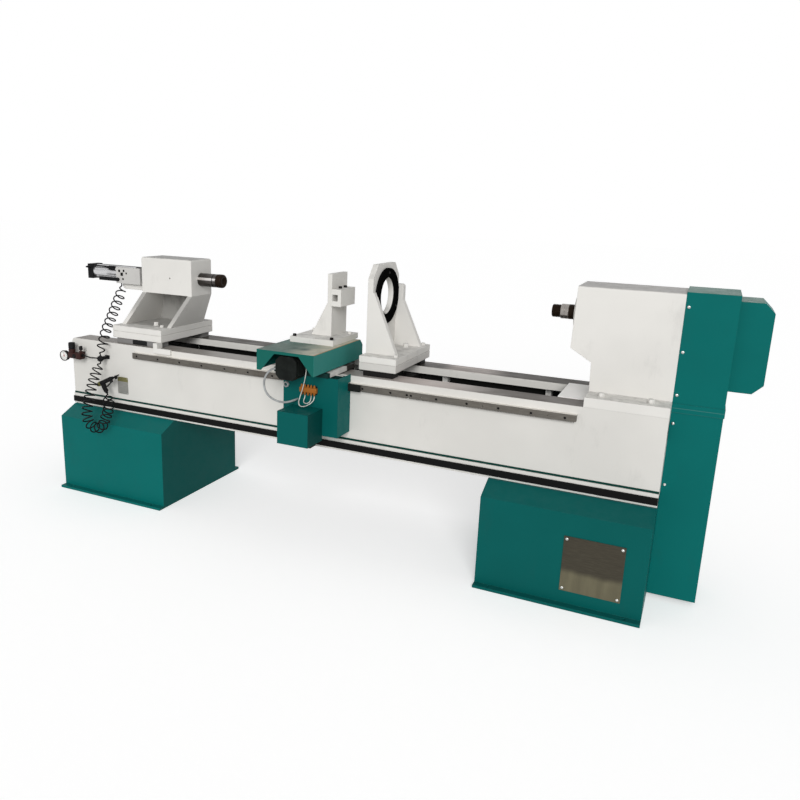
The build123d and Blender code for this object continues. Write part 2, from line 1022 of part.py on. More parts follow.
for x in (front_bearing, rear_bearing):
    bearings += ring_x(
        x, x + bearing_width, spindle_y, spindle_z, bearing_radius - seat_gap, shaft_radius + running_gap
    )
cap = ring_x(head_left - cap_thick, head_left, spindle_y, spindle_z, cap_radius, shaft_radius + air_gap)
keep("spindle_bearings", bearings, cap)
pulley_end = pulley_start + pulley_width
spindle = rod_x(nose_tip, nose_tip + nose_length, spindle_y, spindle_z, nose_radius)
spindle += rod_x(
    nose_tip + nose_length, head_left - cap_thick - shoulder_gap, spindle_y, spindle_z, nose_shoulder_radius,
)
spindle += rod_x(head_left - cap_thick - shoulder_gap, pulley_start, spindle_y, spindle_z, shaft_radius)
spindle += rod_x(pulley_start, pulley_end, spindle_y, spindle_z, pulley_seat_radius)
spindle += rod_x(pulley_end, spindle_tail_end, spindle_y, spindle_z, spindle_tail_radius)
spindle -= rod_x(nose_tip - overcut, spindle_tail_end + overcut, spindle_y, spindle_z, spindle_bore)
keep("spindle", spindle)


def pulley(radius, bore, z):
    belt_low = pulley_start + (pulley_width - belt_width) / 2
    shape = rod_x(pulley_start, pulley_end, spindle_y, z, radius)
    flange = radius + belt_thick / 2
    shape += rod_x(pulley_start, belt_low - belt_side_gap, spindle_y, z, flange)
    shape += rod_x(belt_low + belt_width + belt_side_gap, pulley_end, spindle_y, z, flange)
    return shape - rod_x(pulley_start - overcut, pulley_end + overcut, spindle_y, z, bore)


spindle_nut = ring_x(
    pulley_end,
    pulley_end + spindle_nut_width,
    spindle_y,
    spindle_z,
    spindle_nut_radius,
    spindle_tail_radius + seat_gap,
)
keep("spindle_pulley", pulley(spindle_pulley_radius, pulley_seat_radius + seat_gap, spindle_z), spindle_nut)

# Spindle motor inside the right pedestal, pulleys and belt
motor_face = bed_length - plate_sheet
motor = rod_x(motor_start, motor_face - motor_flange_thick, spindle_y, motor_z, motor_radius)
motor += rod_x(motor_face - motor_flange_thick, motor_face, spindle_y, motor_z, motor_flange_radius)
half = terminal_box / 2
middle = (motor_start + motor_face) / 2
motor += block(
    middle - half, middle + half, spindle_y - half, spindle_y + half, motor_z,
    motor_z + motor_radius + terminal_height
)
motor -= rod_x(
    motor_shaft_start - air_gap, motor_face + overcut, spindle_y, motor_z, motor_shaft_radius + running_gap,
)
motor_shaft = rod_x(motor_shaft_start, pulley_end, spindle_y, motor_z, motor_shaft_radius)
keep("motor_rotor", motor_shaft, pulley(motor_pulley_radius, motor_shaft_radius + seat_gap, motor_z))
belt_plane = Plane(
    origin=(pulley_start + (pulley_width - belt_width) / 2, 0, 0), x_dir=(0, 1, 0), z_dir=(1, 0, 0)
)
belt_face = belt_loop(
    (spindle_y, spindle_z), spindle_pulley_radius, (spindle_y, motor_z), motor_pulley_radius, belt_thick
)
keep("spindle_motor", motor, extrude(belt_plane * belt_face, belt_width))


# Belt guard and spindle end cover
def guard_panel(low, high, hem_low, cap_low, cap_high):
    shape = block(bed_length, guard_right, guard_front, guard_rear, low, high)
    reach = guard_hem_reach
    shape += block(
        bed_length, guard_right + reach, guard_front - reach, guard_rear + reach, hem_low,
        hem_low + guard_hem
    )
    return shape - block(
        bed_length - overcut,
        guard_right - sheet,
        guard_front + sheet,
        guard_rear - sheet,
        low + cap_low,
        high - cap_high,
    )


lower_guard = guard_panel(guard_bottom, guard_seam, guard_seam - guard_hem, sheet, -1)
upper_guard = guard_panel(guard_seam, guard_top, guard_seam, -overcut, sheet)
upper_guard -= rod_x(
    guard_right - sheet - overcut, guard_right + overcut, spindle_y, spindle_z, guard_spindle_hole,
)
guard_screws = Part()
for z in guard_screw_spots:
    x = bed_length + guard_screw_inset
    hole = rod_y(guard_front - overcut, guard_front + sheet + overcut, x, z, guard_screw_radius + bolt_gap)
    lower_guard -= hole
    upper_guard -= hole
    guard_screws += rod_y(guard_front - guard_head, guard_front, x, z, guard_head_radius)
    guard_screws += rod_y(guard_front, guard_front + sheet, x, z, guard_screw_radius)
keep("guard_lower", lower_guard)
keep("guard_upper", upper_guard)
keep("bed_fasteners", panel_screws, rack_screws, foot_bolts, guard_screws)
cover_far = guard_right + end_cover_depth


def end_cover_outline(inset):
    cut = end_cover_chamfer
    return [
        (guard_right - (overcut if inset else 0), end_cover_low + inset),
        (cover_far - cut, end_cover_low + inset),
        (cover_far - inset, end_cover_low + cut),
        (cover_far - inset, end_cover_top - cut),
        (cover_far - cut, end_cover_top - inset),
        (guard_right - (overcut if inset else 0), end_cover_top - inset),
    ]


end_cover = prism_y(end_cover_outline(0), end_cover_front, end_cover_rear)
end_cover -= prism_y(end_cover_outline(sheet), end_cover_front + sheet, end_cover_rear - sheet)
keep("end_cover", end_cover)

# Chip plate over the gap between the ways, against the headstock foot
keep("chip_plate", block(chip_left, head_foot_x, chip_front, chip_rear, bed_top, bed_top + chip_thick))

# Data plate
keep("data_plate", block(plate_left, plate_right, -plate_thick, 0, plate_low, plate_high))

# Air regulator, gauge and knobs
regulator = block(
    regulator_left, regulator_right, regulator_y - regulator_half, regulator_y + regulator_half,
    regulator_low,
    regulator_high,
)
regulator += rod_z(regulator_high, bowl_top, regulator_x, regulator_y, bowl_radius)
middle = (regulator_left + regulator_right) / 2
regulator += block(
    middle - bracket_width / 2, middle + bracket_width / 2, regulator_y, 0, regulator_low, regulator_high
)
regulator += rod_x(gauge_x, regulator_left, regulator_y, gauge_z + gauge_stem_rise, gauge_stem_radius)
regulator -= rod_y(
    regulator_y - gauge_depth / 2, regulator_y + gauge_depth / 2, gauge_x, gauge_z, gauge_radius
)
regulator += rod_z(regulator_high, valve_knob_low, valve_knob_x, regulator_y, valve_stem_radius)
regulator -= rod_z(
    bowl_top - knob_stem_length - overcut, bowl_top + overcut, regulator_x, regulator_y,
    knob_stem_radius + running_gap,
)
regulator -= rod_y(
    regulator_y - regulator_half - overcut, regulator_y - regulator_half + inlet_depth, middle,
    gauge_z + inlet_rise,
    inlet_radius,
)
knob = rod_z(bowl_top + air_gap, bowl_top + knob_height, regulator_x, regulator_y, knob_radius)
knob = fillet(knob.edges().group_by(Axis.Z)[-1], knob_round)
knob += rod_z(bowl_top - knob_stem_length, bowl_top + air_gap, regulator_x, regulator_y, knob_stem_radius)
keep("regulator_knob", knob)
small_knob = rod_z(
    valve_knob_low - small_knob_skirt, valve_knob_low + valve_knob_height, valve_knob_x, regulator_y,
    valve_knob_radius
)
small_knob -= rod_z(
    valve_knob_low - small_knob_skirt - overcut, valve_knob_low + air_gap, valve_knob_x, regulator_y,
    valve_stem_radius + running_gap,
)
keep("shutoff_knob", small_knob)
gauge_front = regulator_y - gauge_depth / 2
gauge = rod_y(gauge_front, gauge_front + gauge_depth, gauge_x, gauge_z, gauge_radius)
gauge -= rod_y(
    gauge_front - overcut, gauge_front + gauge_recess, gauge_x, gauge_z, gauge_radius - gauge_rim,
)
gauge -= rod_y(
    gauge_front, gauge_front + gauge_recess + needle_pin_length + overcut, gauge_x, gauge_z,
    needle_pin + running_gap
)
keep("regulator", regulator, gauge)
needle_face = gauge_front + gauge_recess - air_gap
needle = block(
    gauge_x - needle_width / 2,
    gauge_x + needle_width / 2,
    needle_face - needle_thick,
    needle_face,
    gauge_z,
    gauge_z + needle_length,
)
needle += rod_y(needle_face - needle_thick, needle_face, gauge_x, gauge_z, needle_hub)
needle += rod_y(needle_face, needle_face + needle_pin_length, gauge_x, gauge_z, needle_pin)
keep("gauge_needle", needle)

# Hose tee and feed tube
tee = block(
    tee_x - tee_half, tee_x + tee_half, tee_y - tee_half, tee_y + tee_half, tee_z - tee_half,
    tee_z + tee_half,
)
tee += block(
    tee_x - tee_half / 2, tee_x + tee_half / 2, tee_y, 0, tee_z - tee_half / 2, tee_z + tee_half / 2,
)
feed_points = [
    (regulator_right, regulator_y, tee_z),
    (regulator_right + feed_lead, regulator_y, tee_z),
    (regulator_right + feed_middle, regulator_y - feed_sag, tee_z - feed_sag),
    (tee_x - tee_half - feed_lead, tee_y, tee_z),
    (tee_x - tee_half, tee_y, tee_z),
]
feed = tube("feed_tube", feed_points, hose_radius)

# Blow gun on its hook
gun_place = Pos(gun_x, gun_y, gun_z) * Rot(0, -gun_tilt, 0)
gun = rod_x(-gun_length / 2, gun_length / 2, 0, 0, gun_radius)
gun += rod_x(gun_length / 2, gun_length / 2 + gun_nozzle_length, 0, 0, gun_nozzle_radius)
handle_left = gun_handle_shift - gun_handle_width / 2
handle_right = gun_handle_shift + gun_handle_width / 2
gun += block(
    handle_left, handle_right, -gun_handle_thick / 2, gun_handle_thick / 2, -gun_handle_length, 0
)
gun -= rod_y(
    -gun_radius - overcut, gun_radius + overcut, gun_pin_hole_shift, gun_pin_hole_rise,
    gun_pin_radius + bolt_gap,
)
pivot_x = gun_pin_hole_shift + trigger_reach
pivot_z = -gun_radius - trigger_ear
gun += block(
    pivot_x - trigger_ear, pivot_x + trigger_ear, -trigger_width / 2 - trigger_ear,
    -trigger_width / 2 - running_gap,
    pivot_z - trigger_ear, 0,
)
gun += block(
    pivot_x - trigger_ear, pivot_x + trigger_ear, trigger_width / 2 + running_gap,
    trigger_width / 2 + trigger_ear,
    pivot_z - trigger_ear, 0,
)
gun -= rod_y(-gun_radius, gun_radius, pivot_x, pivot_z, trigger_pivot_radius + running_gap)
keep("gun_body", gun_place * gun)
trigger = block(
    pivot_x - trigger_length, pivot_x + trigger_ear / 2, -trigger_width / 2, trigger_width / 2,
    pivot_z - trigger_thick / 2, pivot_z + trigger_thick / 2,
)
trigger = Pos(pivot_x, 0, pivot_z) * Rot(0, -trigger_lean, 0) * Pos(-pivot_x, 0, -pivot_z) * trigger
trigger -= block(
    handle_left - trigger_length, handle_right + trigger_room, -gun_radius, gun_radius,
    -gun_handle_length, gun_radius
)
trigger += rod_y(
    -trigger_width / 2 - trigger_ear, trigger_width / 2 + trigger_ear, pivot_x, pivot_z,
    trigger_pivot_radius
)
keep("gun_trigger", gun_place * trigger)
hook_spot = gun_place * Pos(gun_pin_hole_shift, 0, gun_pin_hole_rise)
hook = rod_y(
    gun_y - gun_radius - hook_overhang, 0, hook_spot.position.X, hook_spot.position.Z, gun_pin_radius
)
hook += rod_y(-hook_washer, 0, hook_spot.position.X, hook_spot.position.Z, hook_washer_radius)
keep("hose_fittings", tee, feed, hook)

# Coiled hoses
valve_hose_x = valve_left + valve_hose_inset
valve_hose_y = (valve_front + spindle_y - cylinder_half) / 2
tail_hose = coil(
    "tail_hose",
    (valve_hose_x, valve_hose_y, valve_low),
    (0, 0, -1),
    tail_hose_route,
    (tee_x, tee_y, tee_z + tee_half),
    (0, 0, -1),
    tail_hose_turns,
)
keep("tail_hose", tail_hose)
gun_inlet = gun_place * Pos(gun_handle_shift, 0, -gun_handle_length)
loop_angles = [math.radians(180 + 45 * i) for i in range(5)]
gun_hose_route = list(gun_hose_fall)
gun_hose_route += [
    (loop_x + loop_radius * math.cos(a), loop_y, loop_z + loop_radius * math.sin(a)) for a in loop_angles
]
gun_hose_route.append(gun_hose_rise)
gun_way = (gun_place * Pos(gun_handle_shift, 0, 0)).position - gun_inlet.position
gun_hose = coil(
    "gun_hose",
    (tee_x, tee_y, tee_z - tee_half),
    (0, 0, -1),
    gun_hose_route,
    tuple(gun_inlet.position),
    tuple(gun_way),
    gun_hose_turns,
)
keep("gun_hose", gun_hose)

# Saddle on the front way
saddle = block(saddle_left, saddle_right, saddle_front, saddle_rear, saddle_low, saddle_top)
saddle += block(saddle_arm_left, saddle_arm_right, saddle_rear, saddle_arm_rear, saddle_low, saddle_top)
saddle_wall_back = saddle_wall_front + saddle_wall_thick
saddle += block(
    saddle_wall_left, saddle_wall_right, saddle_wall_front, saddle_wall_back, saddle_wall_low, saddle_low
)
saddle += block(
    cross_x - cross_bracket_half,
    cross_x + cross_bracket_half,
    saddle_front,
    saddle_front + cross_bracket_thick,
    saddle_top,
    cross_bracket_top,
)
saddle += block(
    cross_x - end_block_width / 2,
    cross_x + end_block_width / 2,
    saddle_arm_rear - end_block_thick - end_block_inset,
    saddle_arm_rear - end_block_inset,
    saddle_top,
    saddle_top + end_block_height,
)
saddle -= rod_y(
    saddle_front - overcut, saddle_arm_rear + overcut, cross_x, cross_z, cross_screw_radius + running_gap
)
pinion_x = rack_start + (math.floor((drive_x - rack_start) / rack_pitch) + 0.5) * rack_pitch
pinion_z = rack_tip + rack_module - pinion_teeth * rack_module / 2 - pinion_slack
saddle -= rod_y(
    saddle_wall_front - overcut, saddle_wall_back + overcut, pinion_x, pinion_z,
    pinion_shaft_radius + running_gap
)
keep("saddle", saddle)
saddle_pad = block(
    saddle_left + pad_inset,
    saddle_right - pad_inset,
    pad_inset,
    pad_inset + pad_width,
    bed_top + running_gap,
    saddle_low,
)
keeper_front = way_width + keeper_gap
keeper_top = flange_under - keeper_clear
keeper = block(
    saddle_left + pad_inset,
    saddle_right - pad_inset,
    keeper_front,
    keeper_front + keeper_thick,
    keeper_top - keeper_lip_thick,
    saddle_low,
)
keeper += block(
    saddle_left + pad_inset,
    saddle_right - pad_inset,
    keeper_front - keeper_lip,
    keeper_front,
    keeper_top - keeper_lip_thick,
    keeper_top,
)
shoe = block(shoe_left, shoe_right, shoe_front, -lip_depth - air_gap, shoe_low, strip_top)
shoe += block(shoe_left, shoe_right, shoe_front, shoe_front + shoe_arm_thick, strip_top, saddle_wall_low)
shoe -= block(
    shoe_left - overcut, shoe_right + overcut, -rail_depth - running_gap, 0, rail_low - running_gap,
    rail_high + running_gap
)

# Apron and the carriage motor box
apron = block(apron_left, apron_right, apron_front, apron_rear, apron_low, saddle_low)
apron -= block(
    apron_left + sheet, apron_right - sheet, apron_front + sheet, apron_rear + overcut, apron_low + sheet,
    saddle_low + overcut
)
apron -= rod_y(
    apron_front - overcut, apron_front + sheet + overcut, pinion_x, drive_motor_z, drive_motor_hole,
)
apron -= block(
    apron_left - overcut, apron_right + overcut, -rack_depth - rack_room, apron_rear + overcut,
    rack_tip - rack_room,
    rack_top + rack_room,
)
wiper_rear = -rack_depth - wiper_gap
apron += block(apron_right - sheet, wiper_right, wiper_rear - wiper_thick, wiper_rear, rack_tip, rack_top)
apron -= block(
    shoe_left - shoe_room, shoe_right + shoe_room, shoe_front - shoe_room, apron_rear + overcut,
    apron_low - overcut,
    apron_low + sheet + overcut,
)
motor_box = block(box_left, box_right, box_front, apron_front, box_low, box_high)
motor_box -= block(
    box_left + sheet, box_right - sheet, box_front + sheet, apron_front - sheet, box_low + sheet,
    box_high - sheet
)
half = drive_motor_half + drive_motor_room
motor_box -= block(
    pinion_x - half, pinion_x + half, apron_front - sheet - overcut, apron_front + overcut,
    drive_motor_z - half,
    drive_motor_z + half,
)
keep("apron", apron, motor_box)
half = drive_motor_half
drive_motor = block(
    pinion_x - half, pinion_x + half, drive_motor_front, apron_front, drive_motor_z - half,
    drive_motor_z + half
)
drive_motor -= rod_y(
    apron_front - shaft_inside - overcut, apron_front + overcut, pinion_x, drive_motor_z,
    drive_shaft_radius + running_gap
)
pulley_rear = drive_pulley_start + drive_pulley_width
drive_pulley = rod_y(drive_pulley_start, pulley_rear, pinion_x, drive_motor_z, drive_pulley_radius)
drive_pulley += rod_y(
    apron_front - shaft_inside, drive_pulley_start, pinion_x, drive_motor_z, drive_shaft_radius,
)
keep("drive_pulley", drive_pulley)
gear_plane = Plane(origin=(pinion_x, -pinion_inset, pinion_z), x_dir=(1, 0, 0), z_dir=(0, -1, 0))
gear_face = make_face(Polyline(*gear_outline(pinion_teeth, rack_module, pinion_thin), close=True))
pinion = extrude(gear_plane * gear_face, pinion_width)
pinion += rod_y(drive_pulley_start, -pinion_inset, pinion_x, pinion_z, pinion_shaft_radius)
pinion += rod_y(drive_pulley_start, pulley_rear, pinion_x, pinion_z, pinion_pulley_radius)
keep("pinion", pinion)
belt_plane = Plane(
    origin=(0, drive_pulley_start + (drive_pulley_width + drive_belt_width) / 2, 0), x_dir=(1, 0, 0),
    z_dir=(0, -1, 0)
)
belt_face = belt_loop(
    (pinion_x, pinion_z), pinion_pulley_radius, (pinion_x, drive_motor_z), drive_pulley_radius,
    drive_belt_thick
)
keep("drive_motor", drive_motor, extrude(belt_plane * belt_face, drive_belt_width))

# Oil distributor, tubes, gland and conduit on the apron
lube = block(lube_left, lube_right, apron_front - lube_thick, apron_front, lube_low, lube_high)
for x in lube_spots:
    lube += rod_z(lube_low - lube_nipple_length, lube_low, x, oil_y, lube_nipple_radius)
    lube += rod_z(lube_high, lube_high + lube_nipple_length, x, oil_y, lube_nipple_radius)
oil_start = lube_low - lube_nipple_length


def hanging_loop(side, left, right):
    falling = [(left + x, oil_y + y, oil_start + z) for x, y, z in side]
    rising = [(right - x, oil_y + y, oil_start + z) for x, y, z in reversed(side)]
    return falling + rising


inner_loop = hanging_loop(inner_side, lube_spots[1], lube_spots[3])
oil_feed_points = [(oil_nipple_x, oil_nipple_y, saddle_top + oil_nipple_height)]
oil_feed_points += [(x, y, bed_top + rise) for x, y, rise in oil_feed_route]
oil_feed_points.append((lube_spots[4], oil_y, oil_start))
oil_feed = tube("oil_feed", oil_feed_points, oil_radius)
oil_inner = tube("oil_inner", inner_loop, oil_radius)
oil_nipple = rod_z(saddle_top, saddle_top + oil_nipple_height, oil_nipple_x, oil_nipple_y, oil_nipple_radius)
gland = rod_y(apron_front - gland_length, apron_front, gland_x, gland_z, gland_radius)
gland -= rod_y(apron_front - gland_length - overcut, apron_front + overcut, gland_x, gland_z, gland_hole)
conduit_start = cross_x - cross_motor_half
conduit_points = [
    (conduit_start, conduit_y, bed_top + conduit_start_rise),
    (conduit_start - conduit_lead, conduit_y, bed_top + conduit_start_rise),
]
conduit_points += [(x, y, bed_top + rise) for x, y, rise in conduit_route]
conduit_points.append((conduit_route[-1][0], apron_front, bed_top + conduit_end_rise))
conduit = tube("motor_conduit", conduit_points, conduit_radius)
keep("oil_distributor", lube, gland, oil_nipple)
keep("carriage_tubes", oil_feed, oil_inner, conduit)

# Cross motor, screw and rails
motor_rear = saddle_front
half = cross_motor_half
cut = cross_motor_corner
cross_outline = [
    (cross_x - half, cross_z - half + cut),
    (cross_x - half + cut, cross_z - half),
    (cross_x + half - cut, cross_z - half),
    (cross_x + half, cross_z - half + cut),
    (cross_x + half, cross_z + half - cut),
    (cross_x + half - cut, cross_z + half),
    (cross_x - half + cut, cross_z + half),
    (cross_x - half, cross_z + half - cut),
]
cross_motor = prism_y(cross_outline, motor_rear - cross_motor_length, motor_rear)
cross_motor -= rod_y(
    motor_rear - shaft_inside - overcut, motor_rear + overcut, cross_x, cross_z,
    cross_screw_radius + running_gap,
)
keep("cross_motor", cross_motor)
keep("cross_screw", rod_y(motor_rear - shaft_inside, cross_screw_end, cross_x, cross_z, cross_screw_radius))
rails = Part()
for x in cross_rail_spots:
    half = cross_rail_width / 2
    rails += block(
        x - half, x + half, saddle_front, saddle_arm_rear, saddle_top, saddle_top + cross_rail_height,
    )
keep("saddle_guides", saddle_pad, keeper, shoe, rails)

# Cross slide, nut and cover
cross_plate = block(
    saddle_arm_left, saddle_arm_right, cross_plate_front, cross_plate_rear, cross_plate_low,
    cover_top - cover_sheet
)
for x in cross_rail_spots:
    for y in cross_block_starts:
        half = cross_rail_width / 2 + running_gap
        truck = block(
            x - cross_block_half, x + cross_block_half, y, y + cross_block_length, cross_block_low,
            cross_plate_low
        )
        truck -= block(
            x - half, x + half, y - overcut, y + cross_block_length + overcut, saddle_top,
            saddle_top + cross_rail_height + running_gap,
        )
        cross_plate += truck
half = cross_nut_half
nut = block(
    cross_x - half,
    cross_x + half,
    cross_nut_start,
    cross_nut_start + cross_nut_length,
    cross_z - half,
    cross_plate_low,
)
nut -= rod_y(
    cross_nut_start - overcut, cross_nut_start + cross_nut_length + overcut, cross_x, cross_z,
    cross_screw_radius + running_gap
)
cover = prism_x(
    [
        (cover_front, cover_low),
        (cover_rear, cover_low),
        (cover_rear, cover_top - cover_chamfer),
        (cover_rear - cover_chamfer, cover_top),
        (cover_front, cover_top),
    ],
    cover_left,
    cover_right,
)
cover -= prism_x(
    [
        (cover_front + cover_sheet, cover_low - overcut),
        (cover_rear - cover_sheet, cover_low - overcut),
        (cover_rear - cover_sheet, cover_top - cover_chamfer - cover_sheet / 2),
        (cover_rear - cover_chamfer - cover_sheet / 2, cover_top - cover_sheet),
        (cover_front + cover_sheet, cover_top - cover_sheet),
    ],
    cover_left + cover_sheet,
    cover_right - cover_sheet,
)
cover -= block(
    cover_left + cover_sheet, cover_right - cover_sheet, cover_rear - cover_sheet - overcut,
    cover_rear + overcut, cover_low - overcut,
    cover_rear_low,
)
cover -= prism_y(
    [
        (cover_cut_left, cover_low - overcut),
        (cover_cut_right, cover_low - overcut),
        (cover_cut_top_right, cover_cut_top),
        (cover_cut_top_left, cover_cut_top),
    ],
    cover_front - overcut,
    cover_front + cover_sheet + overcut,
)

# Tool post and tool block
post_top = cover_top + post_thick
post = block(post_left, post_right, post_front, post_rear, cover_top, post_top)
post += block(column_left, column_right, column_front, column_rear, post_top, column_top)
gusset = [(post_gusset_left, post_top), (column_left, post_top), (column_left, post_gusset_top)]
for y in (column_front, column_rear - post_gusset_thick):
    post += prism_y(gusset, y, y + post_gusset_thick)
for y in column_hole_spots:
    post -= rod_x(
        column_right - column_hole_depth, column_right + overcut, y, column_hole_z, column_hole_radius
    )
post_bolts = Part()
for x in (post_left + post_bolt_inset, post_right - post_bolt_inset):
    for y in (post_front + post_bolt_inset, post_rear - 2 * post_bolt_inset - cover_chamfer):
        hole = rod_z(
            post_top - post_bolt_length - overcut, post_top + overcut, x, y, post_bolt_radius + bolt_gap,
        )
        post -= hole
        cover -= hole
        cross_plate -= hole
        post_bolts += rod_z(post_top, post_top + post_bolt_head_height, x, y, post_bolt_head)
        post_bolts += rod_z(post_top - post_bolt_length, post_top, x, y, post_bolt_radius)
keep("cross_plate", cross_plate, nut)
keep("slide_cover", cover)
keep("tool_post", post)
tool_block = block(column_right, block_right, block_front, block_rear, block_low, block_top)
outer_rear = tool_block.edges().filter_by(Axis.Z).group_by(Axis.X)[-1].group_by(Axis.Y)[-1]
tool_block = fillet(outer_rear, block_round)
tool_block -= block(
    slot_left, slot_left + slot_width, block_front - overcut, block_rear + overcut, slot_low,
    slot_low + slot_height
)
block_screws = Part()
for y in block_screw_spots:
    tool_block -= rod_z(
        slot_low + slot_height - overcut, block_top + overcut, block_screw_x, y,
        block_screw_radius + bolt_gap,
    )
    block_screws += rod_z(
        block_top, block_top + block_screw_head_height, block_screw_x, y, block_screw_head,
    )
    block_screws += rod_z(
        block_top + block_screw_head_height - block_screw_length, block_top, block_screw_x, y,
        block_screw_radius
    )
keep("tool_block", tool_block)
keep("tool_bolts", post_bolts, block_screws)


# Slide bases
def slide_base(left, right):
    shape = block(left, right, base_front, base_rear, base_lower_low, base_split)
    return chamfer(shape.edges().filter_by(Axis.Z, reverse=True), base_edge)


def upper_base(left, right):
    shape = block(left, right, base_front, base_rear, base_split, base_top)
    return chamfer(shape.edges().filter_by(Axis.Z, reverse=True), base_edge)


def base_pads(left, right):
    x0 = left + base_pad_inset
    x1 = right - base_pad_inset
    far = bed_width - base_pad_front
    shape = block(
        x0, x1, base_pad_front, base_pad_front + base_pad_width, bed_top + running_gap, base_lower_low,
    )
    return shape + block(x0, x1, far - base_pad_width, far, bed_top + running_gap, base_lower_low)


clamp_top = flange_under - clamp_drop
clamp_low = clamp_top - clamp_thick
clamp_rear = bed_width - clamp_front


def clamp_bolt_holes(x, spots):
    radius = clamp_bolt_radius + bolt_gap
    return [rod_z(clamp_low - overcut, base_top + overcut, x, y, radius) for y in spots]


def clamp_bolts(x, spots):
    shape = Part()
    for y in spots:
        shape += rod_z(base_top, base_top + clamp_bolt_head_height, x, y, clamp_bolt_head)
        shape += rod_z(clamp_low, base_top, x, y, clamp_bolt_radius)
    return shape


def base_bolts(spots):
    shape = Part()
    for x, y in spots:
        shape += rod_z(base_top, base_top + base_bolt_head_height, x, y, base_bolt_head)
        shape += rod_z(base_top - base_bolt_length, base_top, x, y, base_bolt_radius)
    return shape


def base_bolt_holes(spots):
    low = base_top - base_bolt_length - overcut
    radius = base_bolt_radius + bolt_gap
    return [rod_z(low, base_top + overcut, x, y, radius) for x, y in spots]


# Tailstock
tail_head_rear = bed_width - tail_head_front
tail_head = block(
    tail_head_left, tail_head_right, tail_head_front, tail_head_rear, tail_head_low, tail_head_top
)
tail_head = fillet(tail_head.edges().group_by(Axis.Z)[-1], tail_head_round)
tail_casting = upper_base(tail_left, tail_right) + tail_head
tail_casting += leaning_wall(
    base_top,
    (tail_left_foot, tail_left_foot + tail_wall, tail_left_foot_front, tail_foot_rear),
    tail_head_low,
    (tail_head_left, tail_head_left + tail_wall, tail_head_front, tail_head_rear),
)
tail_casting += leaning_wall(
    base_top,
    (tail_right_foot, tail_right_foot + tail_wall, tail_right_foot_front, tail_foot_rear),
    tail_head_low,
    (tail_head_right - tail_wall, tail_head_right, tail_head_front, tail_head_rear),
)
tail_casting += leaning_wall(
    base_top,
    (tail_left_foot + tail_wall, tail_right_foot, tail_foot_rear - tail_wall, tail_foot_rear),
    tail_head_low,
    (tail_head_left + tail_wall, tail_head_right - tail_wall, tail_head_rear - tail_wall, tail_head_rear),
)
tail_casting -= rod_x(
    tail_head_left - overcut, tail_head_right + overcut, spindle_y, spindle_z, quill_radius + running_gap
)
tail_casting -= rod_y(
    tail_head_front - overcut, tail_head_front + sight_hole_depth, sight_hole_x, sight_hole_z,
    sight_hole_radius
)
tail_bracket_left = tail_right - tail_bracket_leg
tail_base = slide_base(tail_left, tail_right)
tail_base += block(
    tail_bracket_left, tail_right - base_edge, tail_bracket_front, base_front + tail_bracket_grip,
    bed_top + tail_bracket_gap,
    base_lower_low + base_edge,
)
tail_base += block(
    tail_bracket_left, tail_bracket_right, tail_bracket_front, -tail_bracket_gap, tail_bracket_low,
    tail_bracket_high
)
tail_clamp = block(tail_clamp_left, tail_clamp_right, clamp_front, clamp_rear, clamp_low, clamp_top)
for hole in clamp_bolt_holes(tail_clamp_bolt_x, tail_clamp_bolt_ys):
    tail_casting -= hole
    tail_base -= hole
    tail_clamp -= hole
for hole in base_bolt_holes(tail_base_bolt_spots):
    tail_casting -= hole
    tail_base -= hole
keep("tail_casting", tail_casting)
keep("tail_base", tail_base)
keep("tail_slides", base_pads(tail_left, tail_right), tail_clamp)
keep("tail_bolts", clamp_bolts(tail_clamp_bolt_x, tail_clamp_bolt_ys), base_bolts(tail_base_bolt_spots))

# Quill, turning nose and piston
quill = rod_x(quill_start, quill_neck, spindle_y, spindle_z, quill_radius)
quill -= rod_x(
    quill_neck - quill_pin_depth - overcut, quill_neck + overcut, spindle_y, spindle_z,
    quill_pin_radius + running_gap
)
sleeve = rod_x(nose_sleeve_start, nose_sleeve_end, spindle_y, spindle_z, nose_sleeve_radius)
sleeve = fillet(sleeve.edges().group_by(Axis.X)[-1], nose_sleeve_round)
sleeve += rod_x(quill_neck - quill_pin_depth, nose_sleeve_start, spindle_y, spindle_z, quill_pin_radius)
keep("nose_sleeve", sleeve)
piston = rod_x(piston_start, piston_start + piston_length, spindle_y, spindle_z, barrel_bore - running_gap)
piston += rod_x(piston_start + piston_length, quill_start, spindle_y, spindle_z, rod_radius)
keep("quill", quill, piston)

# Air cylinder behind the tailstock head
barrel_start = cylinder_left + cylinder_cap
barrel = ring_x(barrel_start, cylinder_front_cap, spindle_y, spindle_z, barrel_radius, barrel_bore)
half = cylinder_half
caps = block(
    cylinder_left, barrel_start, spindle_y - half, spindle_y + half, spindle_z - half, spindle_z + half
)
caps += block(
    cylinder_front_cap, tail_head_left, spindle_y - half, spindle_y + half, spindle_z - half,
    spindle_z + half
)
caps -= rod_x(
    cylinder_front_cap - overcut, tail_head_left + overcut, spindle_y, spindle_z, rod_radius + running_gap,
)
ties = Part()
for i in (-1, 1):
    for j in (-1, 1):
        ties += rod_x(
            barrel_start, cylinder_front_cap, spindle_y + i * tie_rod_offset,
            spindle_z + j * tie_rod_offset,
            tie_rod_radius,
        )
air_tube_z = spindle_z + air_tube_rise
cap_face = spindle_y - half
caps += rod_y(cap_face - air_nut_length, cap_face, air_nut_x, air_tube_z, air_nut_radius)
keep("cylinder_caps", caps, ties)
arm_top = spindle_z - cylinder_half
arm_round = (arm_top - tail_head_low) / 2
arm = block(arm_start + arm_round, tail_head_left, arm_front, arm_rear, tail_head_low, arm_top)
arm += rod_y(arm_front, arm_rear, arm_start + arm_round, arm_top - arm_round, arm_round)
keep("cylinder_arm", arm)
valve = block(valve_left, valve_right, valve_front, spindle_y - half, valve_low, valve_high)
